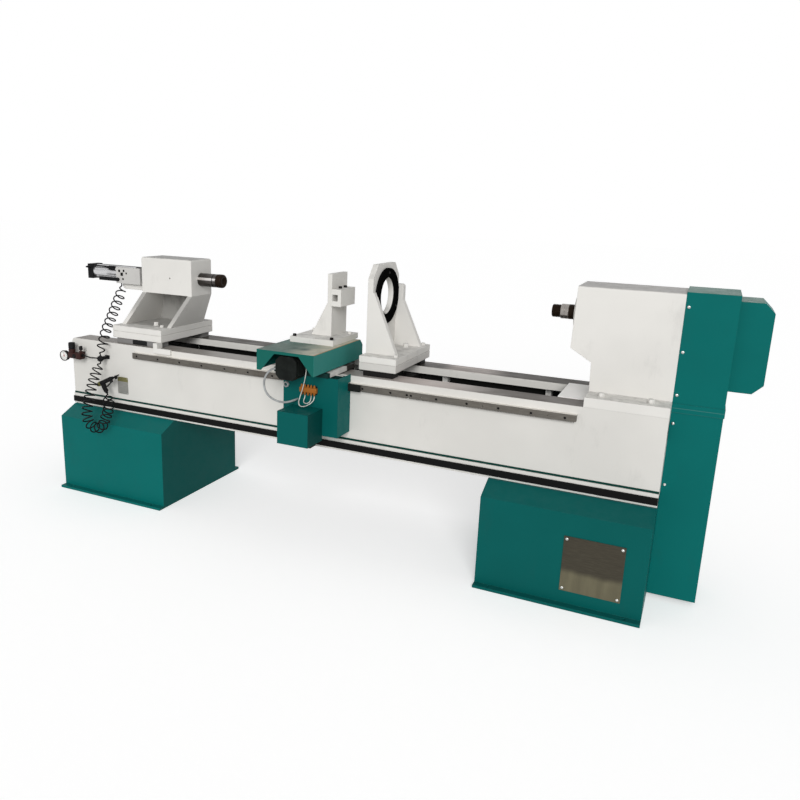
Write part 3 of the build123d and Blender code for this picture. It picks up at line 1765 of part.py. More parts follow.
for x, rise, size in valve_port_spots:
    valve -= Pos(x, valve_front, spindle_z + rise) * Box(size, 2 * valve_port_depth, size)
valve -= rod_y(
    valve_front - overcut, valve_front + lever_pin_length + overcut, lever_pivot_x, lever_z,
    lever_pin_radius + running_gap
)
valve += rod_x(valve_left - air_nut_length, valve_left, valve_hose_y, air_tube_z, air_nut_radius)
air_tube_points = [(valve_left - air_nut_length, valve_hose_y, air_tube_z)]
air_tube_points += [(x, y, spindle_z + rise) for x, y, rise in air_tube_route]
air_tube_points.append((air_nut_x, cap_face - air_nut_length, air_tube_z))
keep("air_cylinder", barrel, valve)
keep("cylinder_tube", tube("cylinder_tube", air_tube_points, air_tube_radius))
lever = block(
    lever_start,
    lever_pivot_x,
    valve_front - air_gap - lever_thick,
    valve_front - air_gap,
    lever_z - lever_half,
    lever_z + lever_half,
)
lever += rod_y(
    valve_front - air_gap - lever_thick, valve_front - air_gap, lever_pivot_x, lever_z, lever_half,
)
lever += rod_y(
    valve_front - air_gap, valve_front + lever_pin_length, lever_pivot_x, lever_z, lever_pin_radius,
)
keep("valve_lever", lever)

# Steady rest
frame_left = steady_left + frame_inset
frame_right = frame_left + frame_thick
frame_outline = [
    (frame_front, base_top),
    (frame_rear, base_top),
    (frame_rear, frame_top - frame_chamfer_drop),
    (frame_rear - frame_chamfer_side, frame_top),
    (frame_front + frame_chamfer_side, frame_top),
    (frame_front, frame_top - frame_chamfer_drop),
]
frame = prism_x(frame_outline, frame_left, frame_right)
frame += prism_y(
    [
        (frame_right, base_top),
        (frame_front_gusset_reach, base_top),
        (frame_right + frame_gusset_tip, frame_front_gusset_top),
        (frame_right, frame_front_gusset_top),
    ],
    frame_front,
    frame_front + frame_thick,
)
frame += prism_y(
    [
        (frame_right, base_top),
        (frame_rear_gusset_reach, base_top),
        (frame_rear_gusset_side, frame_rear_gusset_knee),
        (frame_rear_gusset_side, frame_rear_gusset_top - frame_gusset_corner),
        (frame_rear_gusset_side - frame_gusset_corner, frame_rear_gusset_top),
        (frame_right, frame_rear_gusset_top),
    ],
    frame_rear - frame_thick,
    frame_rear,
)
frame += upper_base(steady_left, steady_right)
frame -= rod_x(frame_left - overcut, frame_right + overcut, spindle_y, spindle_z, ring_spigot + seat_gap)
ring_face = frame_right + ring_proud
frame -= rod_x(frame_right, ring_face + overcut, spindle_y, spindle_z, ring_outer + air_gap)
steady_ring = rod_x(frame_right, ring_face, spindle_y, spindle_z, ring_outer)
steady_ring += rod_x(frame_left, frame_right, spindle_y, spindle_z, ring_spigot)
steady_ring -= rod_x(frame_left - overcut, ring_face + overcut, spindle_y, spindle_z, ring_inner)
ring_screws = Part()
for angle in ring_screw_angles:
    y = spindle_y + ring_screw_circle * math.cos(math.radians(angle))
    z = spindle_z + ring_screw_circle * math.sin(math.radians(angle))
    steady_ring -= rod_x(
        ring_face - ring_screw_length - overcut, ring_face + overcut, y, z, ring_screw_radius + bolt_gap,
    )
    ring_screws += rod_x(ring_face, ring_face + ring_head, y, z, ring_head_radius)
    ring_screws += rod_x(ring_face - ring_screw_length, ring_face, y, z, ring_screw_radius)
steady_base = slide_base(steady_left, steady_right)
steady_clamp = block(steady_clamp_left, steady_clamp_right, clamp_front, clamp_rear, clamp_low, clamp_top)
for hole in clamp_bolt_holes(steady_clamp_bolt_x, steady_clamp_bolt_ys):
    frame -= hole
    steady_base -= hole
    steady_clamp -= hole
for hole in base_bolt_holes(steady_base_bolt_spots):
    frame -= hole
    steady_base -= hole
keep("steady_frame", frame)
keep("steady_ring", steady_ring)
keep("steady_base", steady_base)
keep("steady_slides", base_pads(steady_left, steady_right), steady_clamp)
keep(
    "steady_bolts",
    ring_screws,
    clamp_bolts(steady_clamp_bolt_x, steady_clamp_bolt_ys),
    base_bolts(steady_base_bolt_spots),
)

# Origin on the floor at the middle of the machine, without its free hoses
boxes = [shape.bounding_box() for name, shape in nodes.items() if name not in cord_names]
shift_x = -(min(b.min.X for b in boxes) + max(b.max.X for b in boxes)) / 2
shift_y = -(min(b.min.Y for b in boxes) + max(b.max.Y for b in boxes)) / 2
print("shift", shift_x, shift_y, "pinion", pinion_x, pinion_z, "nodes", len(nodes))
os.makedirs("parts", exist_ok=True)
for name, shape in nodes.items():
    export_step(Pos(shift_x, shift_y, 0) * shape, "parts/" + name + ".step")
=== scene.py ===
import math
import bpy
import bmesh
from mathutils import Matrix, Vector


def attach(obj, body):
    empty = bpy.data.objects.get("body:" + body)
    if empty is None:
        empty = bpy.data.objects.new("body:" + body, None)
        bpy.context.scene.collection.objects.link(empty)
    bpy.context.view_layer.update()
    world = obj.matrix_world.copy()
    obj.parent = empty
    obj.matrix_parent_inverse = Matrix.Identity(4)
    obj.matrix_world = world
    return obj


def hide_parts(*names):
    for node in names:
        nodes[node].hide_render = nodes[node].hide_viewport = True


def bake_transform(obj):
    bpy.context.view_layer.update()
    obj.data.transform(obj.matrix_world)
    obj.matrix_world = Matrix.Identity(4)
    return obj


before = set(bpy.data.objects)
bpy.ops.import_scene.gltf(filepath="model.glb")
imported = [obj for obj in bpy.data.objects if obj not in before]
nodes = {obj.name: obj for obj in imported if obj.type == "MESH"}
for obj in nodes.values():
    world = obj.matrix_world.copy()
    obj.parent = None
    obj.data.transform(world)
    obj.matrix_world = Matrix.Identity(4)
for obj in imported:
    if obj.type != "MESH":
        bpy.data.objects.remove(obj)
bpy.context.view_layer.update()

scene = bpy.context.scene
milli = 0.001
rowMiddle = {"X": 1552.5, "Y": 141.5, "Z": 0}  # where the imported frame's origin lies on the drawing, mm
spindleLine = (227.5, 1091)  # y and z of the turning axis on the drawing, mm


def spot(x, y, z):
    return Vector(((x - rowMiddle["X"]) * milli, (y - rowMiddle["Y"]) * milli, z * milli))


drawing = Matrix.Translation(spot(0, 0, 0))

# the camera stands where the photograph was taken
cameraView = {
    "place": (2934.7, -2840.4, 1498.5),
    "yaw": -0.4287, "pitch": 0.2478, "roll": 0.0317,
    "lens": 33.83, "shiftX": 0.05, "shiftY": -0.0125,
}


def makeCamera(view):
    yaw, pitch, roll = view["yaw"], view["pitch"], view["roll"]
    ahead = Vector((math.sin(yaw) * math.cos(pitch), math.cos(yaw) * math.cos(pitch), -math.sin(pitch)))
    side = Vector((math.cos(yaw), -math.sin(yaw), 0))
    rise = side.cross(ahead)
    right = side * math.cos(roll) + rise * math.sin(roll)
    up = rise * math.cos(roll) - side * math.sin(roll)
    data = bpy.data.cameras.new("photoCamera")
    data.lens = view["lens"]
    data.sensor_width = 36
    data.shift_x, data.shift_y = view["shiftX"], view["shiftY"]
    data.clip_start, data.clip_end = 0.05, 100
    camera = bpy.data.objects.new("photoCamera", data)
    scene.collection.objects.link(camera)
    turn = Matrix((right, up, -ahead)).transposed().to_4x4()
    camera.matrix_world = Matrix.Translation(spot(*view["place"])) @ turn
    scene.camera = camera


makeCamera(cameraView)
print("camera placed")


# one finish is one node tree; the helpers below wire it
class Finish:
    def __init__(self, name):
        self.material = bpy.data.materials.new(name)
        self.material.use_nodes = True
        self.tree = self.material.node_tree
        self.shader = self.tree.nodes["Principled BSDF"]
        self.coords = self.add("ShaderNodeTexCoord").outputs["Object"]

    def feed(self, target, values):
        for key, value in values.items():
            if isinstance(value, bpy.types.NodeSocket):
                self.tree.links.new(value, target.inputs[key])
            else:
                target.inputs[key].default_value = value

    def add(self, kind, values=None, **settings):
        node = self.tree.nodes.new(kind)
        for key, value in settings.items():
            setattr(node, key, value)
        self.feed(node, values or {})
        return node

    def stretched(self, *scale):
        return self.add("ShaderNodeMapping", {"Scale": scale, "Vector": self.coords}).outputs["Vector"]

    def noise(self, scale, detail=4, rough=0.55, coords=None):
        values = {"Scale": scale, "Detail": detail, "Roughness": rough, "Vector": coords or self.coords}
        return self.add("ShaderNodeTexNoise", values).outputs["Fac"]

    def ramp(self, source, low, high, start=0.0, end=1.0):
        values = {"Value": source, "From Min": low, "From Max": high, "To Min": start, "To Max": end}
        node = self.add("ShaderNodeMapRange", values, clamp=True, interpolation_type="SMOOTHSTEP")
        return node.outputs["Result"]

    def math(self, kind, a, b=0.0):
        return self.add("ShaderNodeMath", {0: a, 1: b}, operation=kind).outputs[0]

    def all(self, first, *others):
        for other in others:
            first = self.math("MULTIPLY", first, other)
        return first

    def mix(self, share, *tones):
        a, b = ((*tone, 1) if isinstance(tone, tuple) else tone for tone in tones)
        return self.add("ShaderNodeMix", {0: share, 6: a, 7: b}, data_type="RGBA").outputs[2]

    def tint(self, coat, share, colour):
        coat["Base Color"] = self.mix(share, coat["Base Color"], colour)

    def between(self, share, a, b):
        return self.add("ShaderNodeMix", {0: share, 2: a, 3: b}, data_type="FLOAT").outputs[0]

    def axis(self, name, source=None):
        return self.add("ShaderNodeSeparateXYZ", {0: source or self.coords}).outputs[name]

    def normal(self):
        return self.add("ShaderNodeNewGeometry").outputs["True Normal"]

    def facing(self, name, low, high, *ends):
        return self.ramp(self.axis(name, self.normal()), low, high, *ends)

    def above(self, name, mm, soft=0.4):
        level = (mm - rowMiddle[name]) * milli
        return self.ramp(self.axis(name), level - soft * milli, level + soft * milli)

    def below(self, name, mm, soft=0.4):
        return self.math("SUBTRACT", 1.0, self.above(name, mm, soft))

    def within(self, limits, soft=0.4):
        inside = 1.0
        for name, low, high in limits:
            inside = self.all(self.above(name, low, soft), self.below(name, high, soft), inside)
        return inside

    def near(self, place, mm):
        node = self.add("ShaderNodeVectorMath", {0: self.coords, 1: spot(*place)}, operation="DISTANCE")
        return self.ramp(node.outputs["Value"], 0, mm * milli, 1, 0)

    def edges(self, radius):
        soft = self.add("ShaderNodeBevel", {"Radius": radius}, samples=4).outputs[0]
        dot = self.add("ShaderNodeVectorMath", {0: soft, 1: self.normal()}, operation="DOT_PRODUCT")
        return soft, self.ramp(dot.outputs["Value"], 0.7, 0.985, 1, 0)

    def bump(self, height, strength, distance, normal):
        values = {"Strength": strength, "Distance": distance, "Height": height, "Normal": normal}
        return self.add("ShaderNodeBump", values).outputs[0]


def shade(colour, factor):
    return tuple(min(1.0, c * factor) for c in colour)


# each coat gives values for the sockets of the shader, so that two coats can share one casting
def paintCoat(f, colour, wear, dust, rough=(0.34, 0.5), dusty=0.25, chips=0.5, edge=0.0022):
    normal, rim = f.edges(edge)
    cloud = f.noise(2.3, 3)
    mottle = f.noise(26, 6, 0.62)
    tone = f.mix(f.ramp(cloud, 0.3, 0.7), shade(colour, 0.95), shade(colour, 1.04))
    settle = f.all(f.facing("Z", 0.3, 0.95), f.ramp(mottle, 0.35, 0.75, 0.2, 1), dusty)
    tone = f.mix(settle, tone, dust)
    smear = f.ramp(f.noise(9, 8, 0.7, f.stretched(1, 1, 0.35)), 0.56, 0.74, 0, 0.16)
    tone = f.mix(smear, tone, shade(dust, 0.6))
    chip = f.all(rim, f.ramp(f.noise(120, 4, 0.6), 0.5, 0.66), chips)
    tone = f.mix(chip, tone, wear)
    peel = f.math("ADD", f.noise(700, 2, 0.4), f.all(f.noise(14, 2, 0.4), 1.5))
    return {"Base Color": tone, "Roughness": f.ramp(mottle, 0.3, 0.7, *rough), "Metallic": 0.0,
            "Normal": f.bump(peel, 0.06, 0.0006, normal)}


def steelCoat(f, colour, rough, grain=(1, 1, 1), grainScale=400, stain=(0.2, 0.16, 0.12), stained=0.35,
              edge=0.0012, metal=0.9):
    normal, rim = f.edges(edge)
    streak = f.noise(grainScale, 3, 0.6, f.stretched(*grain))
    patch = f.noise(7, 6, 0.65)
    tone = f.mix(f.ramp(streak, 0.3, 0.7), shade(colour, 0.82), shade(colour, 1.16))
    tone = f.mix(f.ramp(patch, 0.48, 0.72, 0, stained), tone, stain)
    tone = f.mix(f.all(rim, 0.5), tone, shade(colour, 1.5))
    return {"Base Color": tone, "Roughness": f.ramp(patch, 0.3, 0.7, *rough), "Metallic": metal,
            "Normal": f.bump(streak, 0.08, 0.0003, normal)}


def mouldCoat(f, colour, rough, grain=900, strength=0.1, dust=(0.16, 0.15, 0.14), dusty=0.2):
    normal, rim = f.edges(0.0012)
    haze = f.noise(30, 5, 0.6)
    tone = f.mix(f.ramp(haze, 0.35, 0.7), shade(colour, 0.8), shade(colour, 1.25))
    tone = f.mix(f.all(f.facing("Z", 0.2, 0.9), f.ramp(haze, 0.4, 0.75), dusty), tone, dust)
    tone = f.mix(f.all(rim, 0.25), tone, dust)
    return {"Base Color": tone, "Roughness": f.ramp(haze, 0.3, 0.7, *rough), "Metallic": 0.0,
            "Normal": f.bump(f.noise(grain, 2, 0.5), strength, 0.0004, normal)}


finishes = {}


def setCoat(f, made, shine=0.14):
    f.feed(f.shader, {**made, "Specular IOR Level": shine})
    finishes[f.material.name] = f.material


def oneCoat(name, coat, *facts, shine=0.14, **more):
    f = Finish(name)
    setCoat(f, coat(f, *facts, **more), shine)


def twoCoats(f, share, under, over):
    f.tint(under, share, over["Base Color"])
    for key in ("Roughness", "Metallic"):
        under[key] = f.between(share, under[key], over[key])
    return under


# one coat, with another colour where the mask says
def tintedCoat(name, coat, facts, colour, mask, shine=0.14):
    f = Finish(name)
    made = coat(f, **facts)
    f.tint(made, mask(f), colour)
    setCoat(f, made, shine)


paintShine = 0.06  # low, so that level tops do not mirror the sky
white = {"colour": (0.74, 0.725, 0.69), "wear": (0.3, 0.29, 0.27), "dust": (0.38, 0.372, 0.355),
         "dusty": 0.75}
bedWhite = {**white, "colour": (0.69, 0.675, 0.64)}
green = {"colour": (0.002, 0.13, 0.12), "wear": (0.12, 0.2, 0.19), "dust": (0.03, 0.12, 0.115), "dusty": 0.2}
# a darker copy of the green, as painted shade
shadedGreen = {**green, "colour": (0.002, 0.096, 0.089)}
oneCoat("whitePaint", paintCoat, **white, shine=paintShine)
# the chip plate is painted a brighter white without dust, as painted light
oneCoat("chipLitPaint", paintCoat, **{**white, "colour": (0.96, 0.945, 0.92), "dusty": 0.0}, shine=0.12)
# the steady's base is painted a darker white, as painted shade
oneCoat("steadyShadedPaint", paintCoat, **{**white, "colour": (0.61, 0.595, 0.565)}, shine=paintShine)
# the right pedestal's darker green is painted shade
oneCoat("shadedGreenPaint", paintCoat, **shadedGreen, shine=paintShine)
oneCoat("orangePaint", paintCoat, (0.34, 0.12, 0.02), (0.3, 0.2, 0.12), (0.36, 0.17, 0.06),
        chips=0.7, edge=0.001)
oneCoat("redPaint", paintCoat, (0.035, 0.012, 0.01), (0.14, 0.09, 0.08), (0.06, 0.03, 0.027),
        chips=0.7, edge=0.001)
oneCoat("greyPaint", paintCoat, (0.2, 0.21, 0.21), (0.4, 0.39, 0.37), (0.26, 0.25, 0.23))
oneCoat("turnedSteel", steelCoat, (0.33, 0.3, 0.27), (0.22, 0.36), (1, 0.06, 0.06), 900)
oneCoat("darkSteel", steelCoat, (0.018, 0.011, 0.007), (0.34, 0.48), (1, 0.08, 0.08), 700,
        (0.012, 0.008, 0.006), metal=0.1, shine=0.05)
oneCoat("brightSteel", steelCoat, (0.3, 0.28, 0.26), (0.18, 0.3), (1, 0.05, 0.05), 900, stained=0.12)
oneCoat("zincScrew", steelCoat, (0.6, 0.6, 0.58), (0.2, 0.34), (1, 1, 1), 600, stained=0.15, edge=0.0004)
oneCoat("blackOxide", steelCoat, (0.016, 0.015, 0.015), (0.38, 0.54), (1, 1, 1), 500,
        (0.03, 0.024, 0.02), 0.3, 0.0006, 0.1, shine=0.04)
oneCoat("ironCast", steelCoat, (0.06, 0.056, 0.052), (0.5, 0.68), (1, 1, 1), 260,
        (0.03, 0.024, 0.02), 0.4, metal=0.4)
oneCoat("blackPlastic", mouldCoat, (0.012, 0.012, 0.013), (0.36, 0.52), shine=0.04)
oneCoat("motorBlack", mouldCoat, (0.011, 0.013, 0.012), (0.32, 0.5), 500, 0.14, shine=0.04)
oneCoat("rubberHose", mouldCoat, (0.009, 0.009, 0.01), (0.3, 0.44), 1200, 0.08, dusty=0.1, shine=0.05)
oneCoat("greyTube", mouldCoat, (0.34, 0.35, 0.35), (0.32, 0.46), 1200, 0.06, (0.5, 0.49, 0.46))
oneCoat("clearTube", mouldCoat, (0.6, 0.6, 0.56), (0.22, 0.36), 1200, 0.04, (0.5, 0.48, 0.42))
oneCoat("greyGland", mouldCoat, (0.42, 0.43, 0.43), (0.36, 0.5), dust=(0.5, 0.49, 0.46))
oneCoat("oliveBand", mouldCoat, (0.17, 0.16, 0.04), (0.4, 0.55))
oneCoat("redNeedle", mouldCoat, (0.42, 0.02, 0.015), (0.3, 0.45))
oneCoat("dialWhite", mouldCoat, (0.78, 0.78, 0.75), (0.4, 0.55), dust=(0.7, 0.68, 0.6))
print("plain finishes mixed")

# the beams are painted, with ground tops that the slides keep bright; the channel between them is painted
# dark below the flanges and the rear way's top is painted dark, both as painted shade
wayLook = {
    "height": 766, "rough": (0.34, 0.5), "front": (0.3, 0.28, 0.26), "bright": (0.54, 0.48, 0.45),
    "oily": (0.12, 0.106, 0.096), "rear": (0.05, 0.044, 0.038), "inside": (0.016, 0.016, 0.015),
    "channel": (19, 436), "channelTop": 734, "used": (1690, 2080), "oilyFrom": 2190, "rearFrom": 300,
    "brightened": (1900, 2130),
}


def bedFinish(look):
    f = Finish("bedPaint")
    paint = paintCoat(f, **bedWhite)
    near, far = look["channel"]
    # painted shade: the channel between the beams is painted dark below the flanges
    inside = f.all(f.above("Y", near), f.below("Y", far), f.below("Z", look["channelTop"]))
    f.tint(paint, inside, look["inside"])
    ground = steelCoat(f, look["front"], look["rough"], (0.03, 1, 1), 420, (0.12, 0.1, 0.085), 0.4,
                       metal=0.15)
    streak = f.ramp(f.noise(1, 5, 0.6, f.stretched(0.5, 34, 1)), 0.42, 0.6)
    patchy = f.ramp(streak, 0, 1, 1, 0.8)
    rear = f.above("Y", look["rearFrom"])
    first, last = look["used"]
    used = f.all(f.above("X", first, 130), f.below("X", last, 140), f.ramp(streak, 0, 1, 0.75, 1))
    f.tint(ground, used, look["bright"])
    f.tint(ground, f.all(f.above("X", look["oilyFrom"], 130), patchy), look["oily"])
    # painted shade: the rear way's top is painted dark
    f.tint(ground, f.all(rear, patchy), look["rear"])
    first, last = look["brightened"]
    brightened = f.all(rear, f.above("X", first, 40), f.below("X", last, 70), f.ramp(streak, 0, 1, 0.5, 1))
    f.tint(ground, brightened, look["bright"])
    top = f.all(f.above("Z", look["height"]), f.facing("Z", 0.5, 0.8))
    setCoat(f, twoCoats(f, top, paint, ground), paintShine)


bedFinish(wayLook)

# the left pedestal's side turned to the headstock is painted darker, as painted shade
sideShadeGreen = (0.002, 0.088, 0.08)
tintedCoat("greenPaint", paintCoat, green, sideShadeGreen, lambda f: f.facing("X", 0.5, 0.8), paintShine)

beyond = 9999  # further than any piece reaches, mm


# a painted piece with parts of it in other colours: each mask is a colour, its limits and perhaps its share
def maskedPaint(name, base, *masks, shine=paintShine):
    f = Finish(name)
    paint = paintCoat(f, **base)
    for colour, limits, *share in masks:
        f.tint(paint, f.all(f.within(limits, 0.8), *share), colour)
    setCoat(f, paint, shine)


# colours for the masks below: the gap, saddle and pad darks are painted shade, the seam colour is a painted
# highlight
gapShade = (0.016, 0.016, 0.015)
saddleShadeGreen = (0.006, 0.03, 0.028)
hemHighlight = (0.06, 0.2, 0.19)
dustyTop = (0.115, 0.21, 0.18)
padShadeBlack = (0.014, 0.014, 0.014)
padPaint = {"colour": (0.24, 0.235, 0.23), "wear": (0.3, 0.29, 0.28), "dust": (0.2, 0.19, 0.18)}
# the ribs are painted dark below 690 mm, as painted shade in the channel
maskedPaint("ribPaint", white, (gapShade, [("X", 19, 2847), ("Z", 0, 690)]))
# the saddle is painted dark at its front, its rear and below its top, as painted shade under the cover
maskedPaint("saddlePaint", white, (saddleShadeGreen, [("Y", -beyond, -112)]),
            ((0.05, 0.046, 0.042), [("Y", 48, beyond)]), (saddleShadeGreen, [("Z", 0, 772.5)]))
# the apron is black past its right end; its front is painted in the darker green as painted shade under the
# cover, with a narrow darker strip down its front
maskedPaint("apronPaint", green, ((0.012, 0.014, 0.013), [("X", 1592.6, beyond)]),
            (shadedGreen["colour"], [("Y", -beyond, -120)]),
            ((0.002, 0.058, 0.053), [("X", 1520, 1523), ("Y", -beyond, -123.5)]))
# the guard's two hem lines carry painted highlights, and its top and the end cover's top are painted paler
maskedPaint("guardPaint", green, (hemHighlight, [("Z", 781.8, 784.4)], 0.8), (hemHighlight, [("Z", 765, 767)], 0.6),
            (dustyTop, [("Z", 1213, beyond)]), (dustyTop, [("X", 3046, beyond), ("Z", 1189, beyond)]))
# the headstock's top is painted darker, as painted shade
maskedPaint("headPaint", white, ((0.36, 0.35, 0.34), [("Z", 1206.2, beyond)], 0.8))
maskedPaint("ringPaint", white, ((0.004, 0.004, 0.004), [("X", 1645, beyond)]), shine=0.0)
# the slide pads are painted black in their middle and below the way top, as painted shade in the gap under
# the base
maskedPaint("tailPads", padPaint, (padShadeBlack, [("X", 372, 462)]), (padShadeBlack, [("Z", 0, 766)]), shine=0.1)

# the slide cover's front is painted darker and greyer as painted shade and its right side paler as painted
# light; its top carries a painted reflection, hazy and tan towards its right edge, with a rust-coloured line
# at that edge and dark smudges
coverLook = {
    "front": (0.01, 0.12, 0.098), "side": (0.04, 0.225, 0.2), "haze": (0.085, 0.134, 0.112),
    "tan": (0.56, 0.53, 0.42), "rust": (0.36, 0.2, 0.07), "smudge": (0.025, 0.07, 0.06),
    "frontFace": -235, "sideFace": 1536, "tanFrom": 1450, "rustFrom": 1531,
    "smudges": ((1390, -132, 886, 26), (1440, -139, 886, 44)),
}


def coverFinish(look):
    f = Finish("coverPaint")
    paint = paintCoat(f, **green)
    # painted shade on the front face and painted light on the right side
    f.tint(paint, f.below("Y", look["frontFace"]), look["front"])
    f.tint(paint, f.above("X", look["sideFace"]), look["side"])
    # the top's haze and tan are a painted reflection
    top = f.facing("Z", 0.8, 0.95)
    blot = f.noise(11, 6, 0.65)
    f.tint(paint, f.all(top, f.ramp(blot, 0.3, 0.6, 0.6, 1)), look["haze"])
    dusty = f.all(top, f.above("X", look["tanFrom"], 75), f.ramp(blot, 0.35, 0.6, 0.65, 1))
    f.tint(paint, dusty, look["tan"])
    f.tint(paint, f.all(top, f.above("X", look["rustFrom"], 4)), look["rust"])
    for *place, reach in look["smudges"]:
        spread = f.all(top, f.near(place, reach), f.ramp(blot, 0.3, 0.5, 0.5, 1))
        f.tint(paint, spread, look["smudge"])
    setCoat(f, paint, paintShine)


coverFinish(coverLook)

# the rail is satin black below and the strip over it dark green
railBlack = {"colour": (0.008, 0.008, 0.008), "wear": (0.08, 0.08, 0.075), "dust": (0.03, 0.03, 0.028),
             "rough": (0.36, 0.5), "dusty": 0.2, "edge": 0.001}
stripGreen, stripFrom = (0.003, 0.04, 0.03), 470
tintedCoat("railPaint", paintCoat, railBlack, stripGreen, lambda f: f.above("Z", stripFrom), 0.04)

# the rack's top carries a painted highlight, its front is dull
rackFront = {"colour": (0.14, 0.13, 0.115), "rough": (0.35, 0.5), "grain": (0.05, 1, 1), "grainScale": 500,
             "stain": (0.07, 0.058, 0.045), "stained": 0.5}
rackTopHighlight = (0.7, 0.68, 0.65)
tintedCoat("rackSteel", steelCoat, rackFront, rackTopHighlight, lambda f: f.facing("Z", 0.6, 0.9))

# the quill is dull steel with a painted highlight in a band along its front
quillLook = {"dull": (0.075, 0.068, 0.064), "brightened": (0.74, 0.71, 0.69)}


def quillFinish(look):
    f = Finish("quillSteel")
    steel = steelCoat(f, look["dull"], (0.22, 0.36), (1, 0.06, 0.06), 900, (0.05, 0.042, 0.036))
    band = f.all(f.facing("Z", 0.02, 0.14), f.facing("Z", 0.34, 0.48, 1, 0),
                 f.facing("Y", -0.7, -0.5, 1, 0))
    # painted highlight along the front
    f.tint(steel, band, look["brightened"])
    setCoat(f, steel)


quillFinish(quillLook)

# the brushed panel mirrors a dark room above and a tan floor below
panelLook = {"split": 146, "upper": (0.055, 0.048, 0.034), "lower": (0.15, 0.135, 0.085)}


def panelFinish(look):
    f = Finish("panelSheet")
    sheet = steelCoat(f, look["upper"], (0.3, 0.44), (0.05, 1, 1), 600, (0.035, 0.032, 0.022), 0.5,
                      0.0006, 0.35)
    wave = f.all(f.math("SUBTRACT", f.noise(6, 3, 0.5, f.stretched(1, 1, 0.3)), 0.5), 0.06)
    level = f.math("ADD", f.axis("Z"), wave)
    low = f.ramp(level, (look["split"] - 16) * milli, (look["split"] + 14) * milli, 1, 0)
    streak = f.ramp(f.noise(40, 5, 0.6, f.stretched(1, 1, 0.12)), 0.3, 0.7, 0.7, 1)
    f.tint(sheet, f.all(low, streak), look["lower"])
    setCoat(f, sheet, 0.2)


panelFinish(panelLook)

# the riveted plate is two-tone
plateGrey = {"colour": (0.3, 0.3, 0.28), "rough": (0.4, 0.55), "grain": (0.05, 1, 1), "grainScale": 700,
             "stain": (0.2, 0.19, 0.17), "stained": 0.4, "edge": 0.0006, "metal": 0.3}
plateOlive, oliveFrom = (0.17, 0.16, 0.07), 575
tintedCoat("plateBlank", steelCoat, plateGrey, plateOlive, lambda f: f.above("Z", oliveFrom, 1))

# the cylinder's barrel is drawn alloy; the valve on its front is pale, with dark ports
valveLook = {
    "plane": 191, "alloy": (0.62, 0.62, 0.63), "pale": (0.55, 0.54, 0.52), "port": (0.012, 0.012, 0.012),
    "ports": (("X", 157, 308), ("Y", 172.6, 179), ("Z", 1045, 1123)),
}


def cylinderFinish(look):
    f = Finish("cylinderAlloy")
    barrel = steelCoat(f, look["alloy"], (0.22, 0.34), (0.04, 1, 1), 700, (0.3, 0.29, 0.28), 0.25)
    valve = paintCoat(f, look["pale"], (0.4, 0.4, 0.4), (0.4, 0.38, 0.36), edge=0.001)
    f.tint(valve, f.within(look["ports"]), look["port"])
    setCoat(f, twoCoats(f, f.below("Y", look["plane"]), barrel, valve))


cylinderFinish(valveLook)

# the hollow under the tail head is painted dull grey as painted shade, with dark smudges, and the top is
# painted darker as painted shade
smudgeLook = {
    "place": (455, 250, 1010), "reach": 190, "hollowTop": 1013, "hollowFrom": 100, "topFrom": 1188.5,
    "dirt": (0.1, 0.092, 0.084), "dull": (0.27, 0.265, 0.25), "top": (0.25, 0.245, 0.235),
}


def tailFinish(look):
    f = Finish("tailPaint")
    paint = paintCoat(f, **white)
    inside = f.all(f.below("Z", look["hollowTop"]), f.above("Y", look["hollowFrom"], 20),
                   f.facing("X", 0.2, 0.6, 1, 0))
    # painted shade in the hollow
    f.tint(paint, f.all(inside, 0.7), look["dull"])
    near = f.near(look["place"], look["reach"])
    blot = f.ramp(f.noise(16, 7, 0.68, f.stretched(1, 1, 0.4)), 0.38, 0.66)
    f.tint(paint, f.all(inside, near, blot, 0.8), look["dirt"])
    # painted shade on the top
    f.tint(paint, f.all(f.above("Z", look["topFrom"]), 0.8), look["top"])
    setCoat(f, paint, paintShine)


tailFinish(smudgeLook)
print("two-tone finishes mixed")


# shapes are drawn in drawing millimetres and placed by a matrix
def addPart(bm, part, finish, place):
    bmesh.ops.recalc_face_normals(part, faces=part.faces)
    for face in part.faces:
        face.material_index = finish
    bmesh.ops.transform(part, matrix=place @ Matrix.Scale(milli, 4), verts=part.verts)
    mesh = bpy.data.meshes.new("part")
    part.to_mesh(mesh)
    part.free()
    bm.from_mesh(mesh)
    bpy.data.meshes.remove(mesh)


def soften(part, soft):
    bmesh.ops.recalc_face_normals(part, faces=part.faces)
    sharp = [edge for edge in part.edges if edge.calc_face_angle(0) > 0.3]
    bmesh.ops.bevel(part, geom=sharp, offset=soft, segments=2, profile=0.5, affect="EDGES",
                    clamp_overlap=True)


def bar(bm, low, high, soft=1.5, finish=0, place=drawing):
    part = bmesh.new()
    bmesh.ops.create_cube(part, size=1)
    low, high = Vector(low), Vector(high)
    for vert in part.verts:
        vert.co = Vector(a + (b - a) * (c + 0.5) for a, b, c in zip(low, high, vert.co))
    soften(part, soft)
    addPart(bm, part, finish, place)


# an outline pushed from start to end along axis 0, 1 or 2
def slab(bm, outline, axis, start, end, soft=1.0, finish=0, place=drawing):
    part = bmesh.new()
    loops = []
    for level in (start, end):
        points = [list(point) for point in outline]
        for point in points:
            point.insert(axis, level)
        loops.append([part.verts.new(point) for point in points])
    count = len(outline)
    for i in range(count):
        j = (i + 1) % count
        part.faces.new((loops[0][i], loops[0][j], loops[1][j], loops[1][i]))
    part.faces.new(loops[0])
    part.faces.new(loops[1])
    soften(part, soft)
    addPart(bm, part, finish, place)


# outlines other than round, as a factor on the radius
def corners(count):
    return lambda angle, along: 1 / math.cos(angle % (2 * math.pi / count) - math.pi / count)


